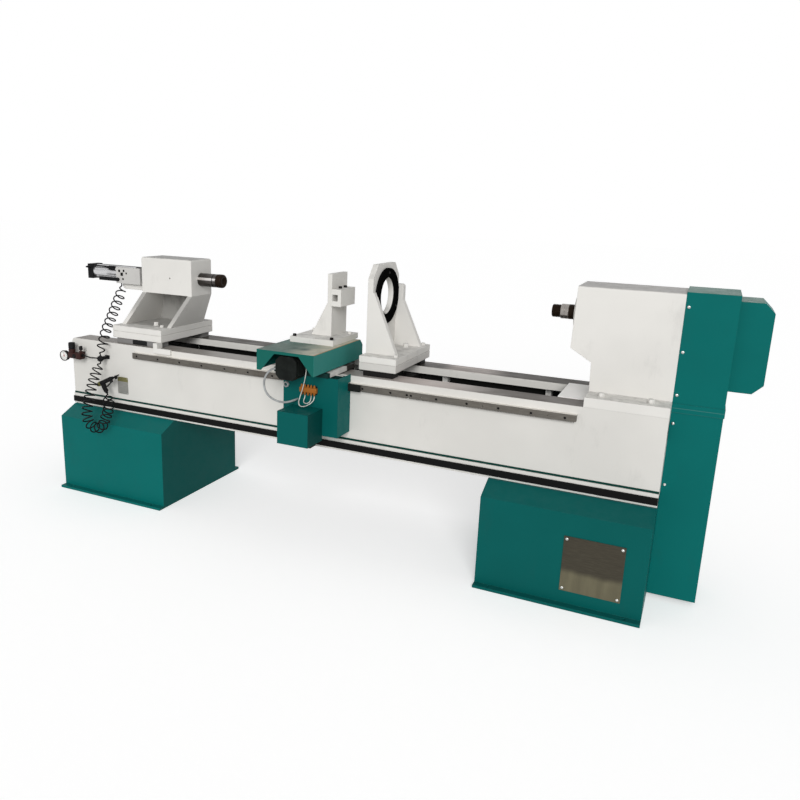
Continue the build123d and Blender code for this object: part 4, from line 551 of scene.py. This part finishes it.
def flutes(count, depth):
    return lambda angle, along: 1 - depth * (0.5 + 0.5 * math.cos(count * angle)) ** 2


def threadRings(first, last, radius, depth, pitch):
    def form(angle, along):
        share = (along / pitch - angle / (2 * math.pi)) % 1
        return 1 - depth * min(1.0, max(0.0, 1.6 * abs(2 * share - 1) - 0.3))

    count = int((last - first) / pitch * 8)
    return [(first + (last - first) * i / count, radius, form) for i in range(count + 1)]


hexagon, square = corners(6), corners(4)
axisLeft, axisRight = (-1, 0, 0), (1, 0, 0)
axisFront, axisRear = (0, -1, 0), (0, 1, 0)
axisDown, axisUp = (0, 0, -1), (0, 0, 1)


# a stack of rings: (distance along, radius) with an outline other than round as the third value
def rings(bm, start, axis, stack, sides=24, finish=0, place=drawing, capped=True):
    way = Vector(axis).normalized()
    side = Vector(axisUp if abs(way.z) < 0.9 else axisRight)
    side = (side - way * side.dot(way)).normalized()
    over = way.cross(side)
    part = bmesh.new()
    loops = []
    for along, radius, *form in stack:
        middle = Vector(start) + way * along
        loop = [part.verts.new(middle)] if not radius else []
        for i in range(sides if radius else 0):
            angle = 2 * math.pi * i / sides
            reach = radius * (form[0](angle, along) if form else 1)
            loop.append(part.verts.new(middle + (side * math.cos(angle) + over * math.sin(angle)) * reach))
        loops.append(loop)
    for before, after in zip(loops, loops[1:]):
        for i in range(sides):
            j = (i + 1) % sides
            if len(before) == 1:
                part.faces.new((before[0], after[i], after[j]))
            elif len(after) == 1:
                part.faces.new((before[i], before[j], after[0]))
            else:
                part.faces.new((before[i], before[j], after[j], after[i]))
    for loop in (loops[0], loops[-1]):
        if capped and len(loop) > 1:
            part.faces.new(loop)
    addPart(bm, part, finish, place)


# gives another finish to the faces between two places along the bed, in drawing millimetres
def paintFaces(bm, finish, low, high):
    for face in bm.faces:
        if low < face.calc_center_median().x / milli + rowMiddle["X"] < high:
            face.material_index = finish


# screw heads, in shares of their height and radius
heads = {
    "socket": [(0, 1), (0.85, 1), (0.96, 0.95), (1, 0.86), (1, 0.62), (0.93, 0.52, hexagon),
               (0.45, 0.52, hexagon), (0.4, 0)],
    "pan": [(0, 1), (0.35, 1), (0.7, 0.88), (0.92, 0.62), (1, 0.4), (1, 0.34), (0.9, 0.24, square),
            (0.5, 0.2, square), (0.5, 0)],
    "hex": [(0, 1), (0.13, 1), (0.16, 0.96), (0.16, 0.74, hexagon), (0.88, 0.74, hexagon), (0.97, 0.7),
            (1, 0.6), (1, 0)],
}


def screwHead(bm, kind, place, axis, radius, height):
    rings(bm, place, axis, [(height * rise, radius * reach, *form) for rise, reach, *form in heads[kind]])


def register(obj, body, slot, *stands):
    scene.collection.objects.link(obj)
    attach(obj, body)
    if stands:
        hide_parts(*stands)


def piece(name, bm, finish, body, slot, *stands):
    mesh = bpy.data.meshes.new(name)
    bm.to_mesh(mesh)
    bm.free()
    for label in [finish] if isinstance(finish, str) else finish:
        mesh.materials.append(finishes[label])
    mesh.polygons.foreach_set("use_smooth", [True] * len(mesh.polygons))
    mesh.set_sharp_from_angle(angle=math.radians(35))
    obj = bpy.data.objects.new(name, mesh)
    register(obj, body, slot, *stands)
    return obj


# a route's points are the control points of one smooth spline
def splineLine(points, fine):
    curve = bpy.data.curves.new("route", "CURVE")
    curve.dimensions = "3D"
    curve.resolution_u = fine
    spline = curve.splines.new("NURBS")
    spline.points.add(len(points) - 1)
    for target, point in zip(spline.points, points):
        target.co = (*point, 1)
    spline.order_u = 3
    spline.use_endpoint_u = True
    return curve


def readLine(curve):
    holder = bpy.data.objects.new("routeHolder", curve)
    mesh = bpy.data.meshes.new_from_object(holder)
    line = [v.co.copy() for v in mesh.vertices]
    bpy.data.objects.remove(holder)
    bpy.data.meshes.remove(mesh)
    return line


# coils round a line, growing from nothing at its two ends
def helixOn(line, turns, radius, leadTurns, perTurn, side):
    along = [0.0]
    for a, b in zip(line, line[1:]):
        along.append(along[-1] + (b - a).length)
    total, points, at = along[-1], [], 0
    steps = turns * perTurn
    for i in range(steps + 1):
        share = i / steps
        while at < len(line) - 2 and along[at + 1] < share * total:
            at += 1
        part = (share * total - along[at]) / (along[at + 1] - along[at])
        way = (line[at + 1] - line[at]).normalized()
        side = (side - way * side.dot(way)).normalized()
        grow = min(1.0, share * turns / leadTurns, (1 - share) * turns / leadTurns)
        grow = radius * grow * grow * (3 - 2 * grow)
        angle = 2 * math.pi * turns * share
        middle = line[at].lerp(line[at + 1], part)
        points.append(middle + (side * math.cos(angle) + way.cross(side) * math.sin(angle)) * grow)
    return points


def cordCurve(name, points, radius, finish, fine):
    curve = splineLine(points, fine)
    curve.name = name
    curve.bevel_depth = radius
    curve.bevel_resolution = 5
    curve.use_fill_caps = True
    curve.materials.append(finishes[finish])
    return bpy.data.objects.new(name, curve)


hoseLook = {"radius": 0.0032, "coil": 0.024, "leadTurns": 1.5, "perTurn": 20}
tailHoseRoute = {
    "points": ((180, 181, 1043), (180, 181, 1036.6), (182, 178, 1002), (197, 116, 939), (215, 54, 875),
               (226, 4, 825), (242, -31, 783), (243, -51, 739), (232, -50, 712.4), (232, -50, 706)),
    "turns": 12, "length": 1.713,
}
gunHoseRoute = {
    "points": ((232, -50, 676), (232, -50, 669.6), (222, -84, 612), (221, -126, 518), (231, -166, 427),
               (248.9, -166, 383.9), (292, -166, 366), (335.1, -166, 383.9), (353, -166, 427),
               (332, -112, 462), (274, -58, 514.1), (271.2, -58, 519.9)),
    "turns": 22, "length": 3.194,
}


def coiledCord(name, route, look):
    line = readLine(splineLine([spot(*p) for p in route["points"]], 24))
    coils = look["coil"], look["leadTurns"], look["perTurn"]
    points = helixOn(line, route["turns"], *coils, Vector(axisRear))
    return cordCurve(name, points, look["radius"], "rubberHose", 4)


# the tail hose stretches between the bed and the tailstock, so it is a mesh tube
tailCurve = coiledCord("tailHoseCurve", tailHoseRoute, hoseLook)
tailHose = bpy.data.objects.new("tailHose", bpy.data.meshes.new_from_object(tailCurve))
scene.collection.objects.link(tailHose)
tailLine = tailCurve.data
tailLine.bevel_depth = 0
bpy.data.objects.remove(tailCurve)
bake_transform(tailHose)
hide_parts("tail_hose")
readLine(tailLine)
gunHose = coiledCord("gunHose", gunHoseRoute, hoseLook)
register(gunHose, "bed", "hose_black", "gun_hose")
print("coiled hoses hung")

carriageTube = {"body": "carriage", "node": "carriage_tubes", "slot": "grey_tube"}
oilTube = {**carriageTube, "finish": "clearTube", "stiffness": "limp", "radius": 0.002}
airTube = {"slot": "hose_black", "finish": "rubberHose", "stiffness": "medium"}
tubes = {
    "conduit": {
        **carriageTube, "finish": "greyTube", "stiffness": "medium", "radius": 0.0045, "length": 0.326,
        "points": ((1350, -175, 800), (1322, -175, 800), (1292, -178, 786), (1272, -182, 754),
                   (1270, -186, 714), (1290, -188, 680), (1328, -186, 660), (1370, -178, 655),
                   (1400, -152, 664), (1400, -122, 664)),
    },
    "oilFeed": {
        **oilTube, "length": 0.332,
        "points": ((1457, -112, 803), (1457, -112, 819), (1457, -131, 835), (1457, -150, 819),
                   (1457, -156, 785), (1449, -154, 750), (1438, -150, 715), (1427, -150, 683),
                   (1423, -155, 663), (1431, -165, 650), (1448, -169, 646), (1467, -164, 652),
                   (1481, -148, 663), (1485, -130, 675), (1485, -130, 689)),
    },
    "oilLoop": {
        **oilTube, "length": 0.094,
        "points": ((1440, -130, 689), (1440, -130, 679), (1439, -140, 667), (1446, -150, 658),
                   (1464, -150, 658), (1471, -140, 667), (1470, -130, 679), (1470, -130, 689)),
    },
    "cylinderTube": {
        **airTube, "body": "tailstock", "node": "cylinder_tube", "radius": 0.003, "length": 0.211,
        "points": ((147, 181, 1112), (126, 181, 1112), (85, 176, 1122), (35, 164, 1125), (-10, 150, 1121),
                   (-31, 154, 1116), (-37, 167, 1112), (-37, 182, 1112)),
    },
    "feedTube": {
        **airTube, "body": "bed", "node": "hose_fittings", "radius": 0.0032, "length": 0.112,
        "points": ((106, -40, 691), (130, -40, 691), (164, -45, 686), (193, -50, 691), (217, -50, 691)),
    },
}
for name, look in tubes.items():
    tube = cordCurve(name, [spot(*p) for p in look["points"]], look["radius"], look["finish"], 16)
    register(tube, look["body"], look["slot"], look["node"])
print("tubes run")

# the blow gun hangs on its hook, its nozzle up; its outlines are drawn about the gun's own middle
gunLook = {
    "place": (262, -58, 580), "tilt": -26, "pivot": (40, -15),
    "barrel": [(0, 0), (0, 6), (2, 9), (8, 10.2), (9, 9.4), (12, 9.4), (13, 10.8), (96, 11), (98, 9.6),
               (104, 9.6), (105, 8.4), (112, 8), (114, 5), (118, 4.2), (154, 3.6), (158, 2.8), (158, 1.6),
               (150, 1.2), (150, 0)],
    "band": [(0, 10.6), (0.6, 11.5), (13, 11.5), (13.6, 10.6)],
    "handle": ((-29, 2), (-7, 2), (-8, -14), (-10, -30), (-8, -44), (-9, -50), (-27, -50), (-28, -42),
               (-30, -24)),
    "nut": [(0, 8), (1, 8), (1, 6.6, hexagon), (7, 6.6, hexagon), (7.6, 5.6), (9, 5.4), (9, 0)],
    "lever": ((2, 2.4), (-10, -0.8), (-26, -5.6), (-39, -9.2), (-42, -11), (-42, -14.6), (-38, -14.6),
              (-24, -10.6), (-8, -5.4), (2, -2.4)),
    "pin": [(0, 1.6), (0.4, 2), (16.4, 2), (16.8, 1.6)],
}


def makeGun(look):
    hang = Matrix.Translation(spot(*look["place"])) @ Matrix.Rotation(math.radians(look["tilt"]), 4, "Y")
    bm = bmesh.new()
    rings(bm, (-56, 0, 0), axisRight, look["barrel"], 28, 0, hang)
    rings(bm, (-43, 0, 0), axisRight, look["band"], 28, 1, hang)
    slab(bm, look["handle"], 1, -8, 8, 3.5, 0, hang)
    rings(bm, (-18, 0, -49), axisDown, look["nut"], 24, 0, hang)
    px, pz = look["pivot"]
    ear = ((px - 4, 0), (px + 4, 0), (px + 3.5, pz - 2), (px, pz - 4), (px - 3.5, pz - 2))
    for near, far in ((-8, -4.1), (4.1, 8)):
        slab(bm, ear, 1, near, far, 0.8, 0, hang)
    gun = piece("blowGun", bm, ("blackPlastic", "oliveBand"), "bed", "black_plastic", "gun_body")
    bm = bmesh.new()
    slab(bm, [(px + x, pz + z) for x, z in look["lever"]], 1, -4, 4, 0.9, 0, hang)
    rings(bm, (px, -8.4, pz), axisRear, look["pin"], 16, 0, hang)
    trigger = piece("gunLever", bm, "blackPlastic", "gun_trigger", "black_plastic", "gun_trigger")
    return gun, trigger


gunPieces = makeGun(gunLook)

# tee with three nuts, its bracket, and the hook that carries the gun
teeLook = {
    "middle": (232, -50, 691), "half": 11, "wall": -3,
    "nut": [(10, 9), (11.5, 9), (11.5, 7.8, hexagon), (14, 7.8, hexagon), (14.6, 7), (15, 5), (15, 0)],
    "hook": (280.5, 0, 592.3),
    "peg": [(0, 9), (5, 9), (6, 8), (6, 3), (70, 3), (70.4, 4.4), (74, 4.4), (75, 3.4), (75, 0)],
}


def makeTee(look):
    x, y, z = look["middle"]
    half, wall = look["half"], look["wall"]
    bm = bmesh.new()
    bar(bm, (x - half, y - half, z - half), (x + half, y + half, z + half), 2.5)
    for axis in (axisLeft, axisUp, axisDown):
        rings(bm, look["middle"], axis, look["nut"])
    bar(bm, (x - 7.5, y + 8, z - 7.5), (x + 7.5, wall, z + 7.5), 1.2)
    bar(bm, (x - 14, wall, z - 10), (x + 14, 0, z + 10), 1)
    for side in (-1, 1):
        screwHead(bm, "pan", (x + side * 10.8, wall, z), axisFront, 2.6, 1.8)
    rings(bm, look["hook"], axisFront, look["peg"])
    piece("hoseTee", bm, "blackPlastic", "bed", "black_plastic", "hose_fittings")


makeTee(teeLook)
print("gun and tee made")

# regulator blocks with bonnet, stem and ports
regulatorLook = {
    "blocks": (((22, -57, 672), (70, -23, 701), 3.5), ((72, -58, 671), (104, -22, 702), 3.5),
               ((64, -52, 676), (78, -28, 697), 1), ((50, -30, 674), (76, -3, 699), 2),
               ((44, -3, 671), (82, 0, 702), 1)),
    "bonnetFoot": (35, -40, 700),
    "bonnet": [(0, 17), (6, 17), (7, 16), (9, 16), (10, 17), (17, 16.4), (18, 15.4), (18, 0)],
    "stemFoot": (95, -40, 700),
    "stem": [(0, 8), (4, 8), (5, 6.5, hexagon), (12, 6.5, hexagon), (13, 4), (26, 4), (26, 0)],
    "ports": (
        ((104, -40, 691), axisRight, [(-4, 9), (0, 9), (0, 7, hexagon), (1.6, 7, hexagon), (2, 6), (2, 0)]),
        ((24, -40, 682), axisLeft, [(0, 8, hexagon), (6, 8, hexagon), (6.6, 6), (20, 6), (20, 0)]),
        ((63, -58, 686), axisFront, [(0.4, 11), (0.8, 10), (0.8, 6), (-12, 6), (-13, 0)]),
    ),
}


def makeRegulator(look):
    bm = bmesh.new()
    for low, high, soft in look["blocks"]:
        bar(bm, low, high, soft)
    rings(bm, look["bonnetFoot"], axisUp, look["bonnet"], 36)
    rings(bm, look["stemFoot"], axisUp, look["stem"])
    for place, axis, stack in look["ports"]:
        rings(bm, place, axis, stack, 24, 1)
    piece("regulatorBlock", bm, ("redPaint", "blackOxide"), "bed", "regulator_red", "regulator")


makeRegulator(regulatorLook)

# gauge with its graduations and needle
gaugeLook = {
    "middle": (-14, -29, 678), "ticks": 11, "sweep": 135, "tickEnd": 21, "tickLength": (5.5, 3.5),
    "dialAt": 17.6, "ticksAt": 18.2, "handAt": (-48.6, -48.0), "hubAt": -47.4,
    "case": [(0, 0), (0, 22), (2, 25), (13, 25.4), (14, 27), (20, 27), (21.4, 26.4), (22, 25), (21.6, 24.2),
             (18, 24), (18, 0)],
    "dial": [(0, 23.8), (0.6, 23.8), (0.6, 0)],
    "hand": ((-1.4, -5), (1.4, -5), (1, 0), (0.35, 17), (-0.35, 17), (-1, 0)),
    "hub": [(0, 3), (1.2, 3), (1.8, 2.2), (1.8, 0)],
}


def makeGauge(look):
    x, y, z = look["middle"]
    bm = bmesh.new()
    rings(bm, look["middle"], axisFront, look["case"], 48)
    rings(bm, (x, y - look["dialAt"], z), axisFront, look["dial"], 48, 1)
    outer = look["tickEnd"]
    for i in range(look["ticks"]):
        angle = math.radians(-look["sweep"] + 2 * look["sweep"] * i / (look["ticks"] - 1))
        inner = outer - look["tickLength"][i % 2]
        place = drawing @ Matrix.Translation(Vector((x, y - look["ticksAt"], z)) * milli)
        bar(bm, (-0.45, -0.35, inner), (0.45, 0.1, outer), 0.1, 2, place @ Matrix.Rotation(angle, 4, "Y"))
    coats = "blackOxide", "dialWhite", "blackPlastic"
    piece("pressureGauge", bm, coats, "bed", "black_steel", "regulator")
    bm = bmesh.new()
    slab(bm, [(x + a, z + b) for a, b in look["hand"]], 1, *look["handAt"], 0.1)
    rings(bm, (x, look["hubAt"], z), axisFront, look["hub"])
    piece("gaugeNeedle", bm, "redNeedle", "gauge_needle", "needle_red", "gauge_needle")


makeGauge(gaugeLook)

# the two knobs, fluted for the fingers
fineGrip, coarseGrip = flutes(20, 0.07), flutes(12, 0.12)
knobs = {
    "pressureKnob": {
        "body": "regulator_knob", "foot": (35, -40, 718), "sides": 80,
        "stack": [(-10, 6), (0.5, 6), (0.5, 15), (2, 16.5), (9, 16.5), (10, 15.6), (11, 16.5, fineGrip),
                  (29, 16.5, fineGrip), (31.5, 15.6), (33, 13.5), (33, 9), (32.2, 8.4), (32.2, 0)],
    },
    "shutoffGrip": {
        "body": "shutoff_knob", "foot": (95, -40, 718), "sides": 48,
        "stack": [(8, 0), (8, 4.1), (0, 4.1), (0, 7.5), (2, 9), (6, 9), (7, 8.2), (8, 9, coarseGrip),
                  (18, 9, coarseGrip), (19.4, 8), (20, 6.4), (20, 0)],
    },
}
for name, look in knobs.items():
    bm = bmesh.new()
    rings(bm, look["foot"], axisUp, look["stack"], look["sides"])
    piece(name, bm, "blackPlastic", look["body"], "black_plastic", look["body"])
print("regulator made")

# screws and bolts, set by set; each place ends with the head's radius and height
rackPitch = 129
rackScrewX = [436 + rackPitch * i for i in range(9)] + [1656, 1785, 1859, 1877]
rackScrewX += [1987 + rackPitch * i for i in range(5)]
ringLook = {"x": 1656, "radius": 102, "angles": (90, 210, 330)}


def ringSpot(look, angle):
    y, z = spindleLine
    turn = math.radians(angle)
    return look["x"], y + look["radius"] * math.cos(turn), z + look["radius"] * math.sin(turn)


zinc, black = ("stainless", "zincScrew"), ("black_steel", "blackOxide")
painted = ("white_paint", "whitePaint")
bedSet, toolSet = ("bed_fasteners", "bed"), ("tool_bolts", "cross_slide")
tailSet, steadySet = ("tail_bolts", "tailstock"), ("steady_bolts", "steady")
screwSets = {
    "panelScrews": (bedSet, zinc, "pan", axisFront,
                    [(2673 + a, -119, 177 + b, 6, 4) for a in (-101.5, 101.5) for b in (-101.5, 101.5)]),
    "guardScrews": (bedSet, zinc, "pan", axisFront,
                    [(2878, 110.5, z, 6, 4) for z in (1160, 994, 832, 723, 479)]),
    "rackScrews": (bedSet, black, "socket", axisFront, [(x, -13.5, 720, 4.8, 5.5) for x in rackScrewX]),
    "headBolts": (bedSet, painted, "hex", axisUp,
                  [(x, y, 805, 14, 16) for x in (2618, 2796) for y in (45, 410)]),
    "postScrews": (toolSet, black, "socket", axisUp, [(x, 0, 911, 8, 10) for x in (1313, 1495)]),
    "rearPostScrews": (toolSet, painted, "socket", axisUp, [(x, 179, 911, 8, 10) for x in (1313, 1495)]),
    "blockScrews": (toolSet, black, "socket", axisUp, [(1469, y, 1119, 8, 9) for y in (125, 175)]),
    "tailBolts": (tailSet, painted, "hex", axisUp,
                  [(445, y, 855, 14, 18) for y in (124, 300)]
                  + [(x, y, 855, 11, 12) for x, y in ((505, 93), (505, 397), (345, 397))]),
    "steadyBolts": (steadySet, painted, "hex", axisUp,
                    [(1720, y, 855, 14, 18) for y in (150, 305)]
                    + [(1770, y, 855, 11, 12) for y in (60, 395)]),
    "ringScrews": (steadySet, black, "socket", axisRight,
                   [(*ringSpot(ringLook, angle), 5.5, 4) for angle in ringLook["angles"]]),
}
for name, ((node, body), (slot, finish), kind, axis, places) in screwSets.items():
    bm = bmesh.new()
    for *place, radius, height in places:
        screwHead(bm, kind, place, axis, radius, height)
    piece(name, bm, finish, body, slot, node)
print("screws set")

# spindle with its threaded nose, bright seat and bore
spindleLook = {
    "start": (2375, *spindleLine), "bright": (2409, 2441), "turnedFrom": 2467,
    "thread": (2.5, 31), "outer": 26, "root": 22.8, "depth": 0.085, "pitch": 4,
    "stack": [(100, 0), (100, 12), (1, 12), (0, 13), (0, 22), (2, 23.4), (35, 23.4), (35, 28.5), (36, 29.5),
              (50, 29.5), (50.4, 29), (51.6, 29), (52, 29.5), (64.5, 29.5), (65, 28.8), (66, 28.8),
              (66.5, 29.5), (92, 29.5), (92, 32.5), (525, 32.5), (525, 30), (585, 30), (585, 24), (728, 24),
              (730, 22), (730, 0)],
}


def makeSpindle(look):
    bm = bmesh.new()
    rings(bm, look["start"], axisRight, look["stack"], 48)
    first, last = look["thread"]
    thread = threadRings(first, last, look["outer"], look["depth"], look["pitch"])
    thread = [(first - 1, look["root"]), *thread, (last + 1, look["root"])]
    rings(bm, look["start"], axisRight, thread, 48, capped=False)
    paintFaces(bm, 1, *look["bright"])
    paintFaces(bm, 2, look["turnedFrom"], beyond)
    coats = "darkSteel", "brightSteel", "turnedSteel"
    piece("spindleShaft", bm, coats, "spindle", "turned_steel", "spindle")


makeSpindle(spindleLook)

# dark turning sleeve on the quill
sleeveLook = {
    "start": (691, *spindleLine), "darkFrom": 752,
    "stack": [(0, 0), (0, 11), (1, 12), (43, 12), (43, 31.6), (43.8, 32.5), (61, 32.5), (62, 31.4),
              (64, 31.4), (65, 33), (71, 33), (71.6, 32.3), (73, 32.3), (73.6, 33), (85, 33), (88.5, 32),
              (91, 29.5), (92, 26), (92, 19), (91, 17.5), (84, 10), (84, 0)],
}


def makeSleeve(look):
    bm = bmesh.new()
    rings(bm, look["start"], axisRight, look["stack"], 48)
    paintFaces(bm, 1, -beyond, look["darkFrom"])
    piece("turningSleeve", bm, ("darkSteel", "quillSteel"), "nose_sleeve", "turned_steel", "nose_sleeve")


makeSleeve(sleeveLook)

# cross screw, 10 mm to the turn
screwLook = {
    "start": (1400, -160, 816), "length": 372, "thread": (34, 360), "radius": 8, "depth": 0.2, "pitch": 10,
}


def makeCrossScrew(look):
    bm = bmesh.new()
    first, last = look["thread"]
    end = look["length"]
    head = [(0, 0), (0, 7), (1, 8), (first - 1, 8), (first - 1, 6.2)]
    thread = threadRings(first, last, look["radius"], look["depth"], look["pitch"])
    tail = [(last + 1, 6), (end - 1, 6), (end, 5), (end, 0)]
    rings(bm, look["start"], axisRear, head + thread + tail)
    piece("crossScrew", bm, "rackSteel", "cross_screw", "ground_steel", "cross_screw")


makeCrossScrew(screwLook)
print("turned pieces made")

# slide motor in slices of (inset, front, rear, softness), with its screws and cable gland
motorLook = {
    "middle": (1400, 816), "half": 50, "corner": 20, "screws": (-33, 33),
    "slices": ((0, -225, -204, 3), (2.5, -205, -203, 0.4), (0.5, -203.4, -146, 0.8), (2.5, -147, -144, 0.4),
               (0, -144.6, -130, 1.2)),
    "glandFoot": (1352, -175, 800),
    "gland": [(0, 9), (1, 9), (1, 8, hexagon), (6, 8, hexagon), (7, 6.4), (12, 6), (13, 5), (13, 0)],
}


def makeMotor(look):
    x, z = look["middle"]
    bm = bmesh.new()
    for inset, start, end, soft in look["slices"]:
        half = look["half"] - inset
        cut = half - look["corner"]
        turns = ((-half, -cut), (-cut, -half), (cut, -half), (half, -cut),
                 (half, cut), (cut, half), (-cut, half), (-half, cut))
        slab(bm, [(x + a, z + b) for a, b in turns], 1, start, end, soft)
    front = look["slices"][0][1]
    for a in look["screws"]:
        for b in look["screws"]:
            screwHead(bm, "socket", (x + a, front + 0.6, z + b), axisFront, 4, 0.55)
    rings(bm, look["glandFoot"], axisLeft, look["gland"])
    piece("slideMotor", bm, "motorBlack", "carriage", "motor_black", "cross_motor")


makeMotor(motorLook)

# oil distributor with its nuts, the gland ring beside it and the nipple on the saddle
oilLook = {
    "low": (1416, -137, 694), "high": (1497, -122, 731), "nut": 8,
    "spots": (1425, 1440, 1455, 1470, 1485), "y": -131,
    "ringFoot": (1345, -122, 722),
    "ring": [(-1, 7), (-1, 13), (2, 13), (2, 11.6, hexagon), (6.4, 11.6, hexagon), (7, 11.4), (8.6, 10.6),
             (9, 9.6), (9, 7.6), (8.4, 7), (-1, 7)],
    "nippleFoot": (1457, -112, 793),
    "nipple": [(0, 5.6), (1, 5.6), (1, 4.4, hexagon), (6, 4.4, hexagon), (6.6, 3.6), (10, 3), (10, 0)],
}


def makeDistributor(look):
    bm = bmesh.new()
    (x0, y0, z0), (x1, y1, z1) = look["low"], look["high"]
    nut = look["nut"]
    bar(bm, (x0, y0, z0 + nut), (x1, y1, z1 - nut), 1.6)
    bar(bm, (x0 + 2, y1 - 3, z0), (x1 - 2, y1, z1), 0.6, 1)
    stack = [(-0.5, 4.4), (0.6, 4.4), (0.6, 4.6, hexagon), (nut - 1, 4.6, hexagon), (nut, 4),
             (nut + 5, 2.7), (nut + 5, 0)]
    for x in look["spots"]:
        rings(bm, (x, look["y"], z0 + nut), axisDown, stack)
        rings(bm, (x, look["y"], z1 - nut), axisUp, stack)
    for x in (x0 + 6, x1 - 6):
        screwHead(bm, "socket", (x, y0, (z0 + z1) / 2), axisFront, 3.2, 1.6)
    piece("oilBlock", bm, ("orangePaint", "blackOxide"), "carriage", "orange_paint", "oil_distributor")
    bm = bmesh.new()
    rings(bm, look["ringFoot"], axisFront, look["ring"], 36, capped=False)
    piece("glandRing", bm, "greyGland", "carriage", "grey_tube", "oil_distributor")
    bm = bmesh.new()
    rings(bm, look["nippleFoot"], axisUp, look["nipple"])
    piece("oilNipple", bm, "zincScrew", "carriage", "orange_paint", "oil_distributor")


makeDistributor(oilLook)

# black position switch clamped on the barrel
switchLook = {
    "low": (90, 187, 1104), "high": (146, 199, 1127),
    "gland": [(0, 7), (3, 7), (3, 5.6, hexagon), (8, 5.6, hexagon), (9, 4.4), (9, 0)],
}


def makeSwitch(look):
    bm = bmesh.new()
    (x0, y0, z0), (x1, y1, z1) = look["low"], look["high"]
    bar(bm, look["low"], (x1 - 14, y1, z1), 2.5)
    bar(bm, (x1 - 15, y0 + 2, z0 + 3), (x1, y1, z1 - 3), 1.5)
    middle = (z0 + z1) / 2
    rings(bm, (x0 + 1, y0 + 8, middle), axisLeft, look["gland"])
    screwHead(bm, "pan", (x1 - 7, y0 + 2, middle), axisFront, 2.6, 1.8)
    piece("barrelSwitch", bm, "blackPlastic", "tailstock", "black_plastic")


makeSwitch(switchLook)

# plate with four rivets
blankLook = {"low": (291, 511), "high": (357, 598), "cut": 3, "rivet": 2.2, "inset": 5}


def makePlate(look):
    (x0, z0), (x1, z1) = look["low"], look["high"]
    cut, rivet, inset = look["cut"], look["rivet"], look["inset"]
    outline = ((x0 + cut, z0), (x1 - cut, z0), (x1, z0 + cut), (x1, z1 - cut),
               (x1 - cut, z1), (x0 + cut, z1), (x0, z1 - cut), (x0, z0 + cut))
    bm = bmesh.new()
    slab(bm, outline, 1, -1.2, 0, 0.3)
    head = [(0, rivet), (0.25, rivet), (0.4, rivet * 0.6), (0.4, 0)]
    for x in (x0 + inset, x1 - inset):
        for z in (z0 + inset, z1 - inset):
            rings(bm, (x, -1.1, z), axisFront, head, 16, 1)
    piece("blankPlate", bm, ("plateBlank", "zincScrew"), "bed", "plate_alloy", "data_plate")


makePlate(blankLook)
print("carriage fittings made")

# finishes on the pieces that keep their own shape
plainFinish = {
    "headPaint": "headstock",
    "chipLitPaint": "chip_plate",
    "coverPaint": "slide_cover",
    "whitePaint": "tool_post tool_block tail_base cylinder_arm steady_frame spindle_bearings",
    "steadyShadedPaint": "steady_base",
    "bedPaint": "bed_front bed_rear",
    "ribPaint": "bed_ribs",
    "tailPaint": "tail_casting",
    "saddlePaint": "saddle",
    "greenPaint": "pedestal_left",
    "shadedGreenPaint": "pedestal_right",
    "guardPaint": "guard_lower guard_upper end_cover",
    "apronPaint": "apron",
    "panelSheet": "access_panel",
    "quillSteel": "quill",
    "rackSteel": "rack pinion",
    "railPaint": "guide_rail",
    "ringPaint": "steady_ring",
    "tailPads": "tail_slides",
    "blackOxide": "steady_slides saddle_guides",
    "ironCast": "spindle_pulley motor_rotor drive_pulley cross_plate",
    "cylinderAlloy": "air_cylinder",
    "blackPlastic": "cylinder_caps valve_lever",
    "motorBlack": "drive_motor",
    "greyPaint": "spindle_motor",
}
for label, names in plainFinish.items():
    for name in names.split():
        nodes[name].data.materials.clear()
        nodes[name].data.materials.append(finishes[label])
print("finishes laid on")

# pale floor, even sky and one soft key light
stageLook = {
    "size": 60, "sunk": 0.0005, "floor": 0.9, "lift": 0.385, "sky": 0.42,
    "sun": 2.0, "sunAngle": 28, "sunTurn": (66, 0, 20),
}


def seenDirectly(tree):
    path = tree.nodes.new("ShaderNodeLightPath")
    seen = path.outputs["Is Camera Ray"]
    for other in ("Is Glossy Ray", "Is Transmission Ray"):
        node = tree.nodes.new("ShaderNodeMath")
        node.operation = "MAXIMUM"
        tree.links.new(seen, node.inputs[0])
        tree.links.new(path.outputs[other], node.inputs[1])
        seen = node.outputs[0]
    return seen


def makeStage(look):
    bpy.ops.mesh.primitive_plane_add(size=look["size"], location=(0, 0, -look["sunk"]))
    floor = bpy.context.object
    floor.name = "floor"
    f = Finish("floorWhite")
    lift = f.all(seenDirectly(f.tree), look["lift"])
    f.feed(f.shader, {"Base Color": (*[look["floor"]] * 3, 1), "Roughness": 0.9, "Specular IOR Level": 0.0,
                      "Emission Color": (1, 1, 1, 1), "Emission Strength": lift})
    floor.data.materials.append(f.material)
    world = bpy.data.worlds.new("studio")
    scene.world = world
    world.use_nodes = True
    tree = world.node_tree
    level = tree.nodes.new("ShaderNodeMapRange")
    level.inputs["To Min"].default_value = look["sky"]
    level.inputs["To Max"].default_value = 1
    tree.links.new(seenDirectly(tree), level.inputs["Value"])
    sky = tree.nodes["Background"]
    sky.inputs["Color"].default_value = (1, 1, 1, 1)
    tree.links.new(level.outputs["Result"], sky.inputs["Strength"])
    data = bpy.data.lights.new("softKey", "SUN")
    data.energy = look["sun"]
    data.angle = math.radians(look["sunAngle"])
    lamp = bpy.data.objects.new("softKey", data)
    lamp.rotation_euler = [math.radians(turn) for turn in look["sunTurn"]]
    scene.collection.objects.link(lamp)


makeStage(stageLook)
scene.view_settings.view_transform = "Standard"
print("stage lit")
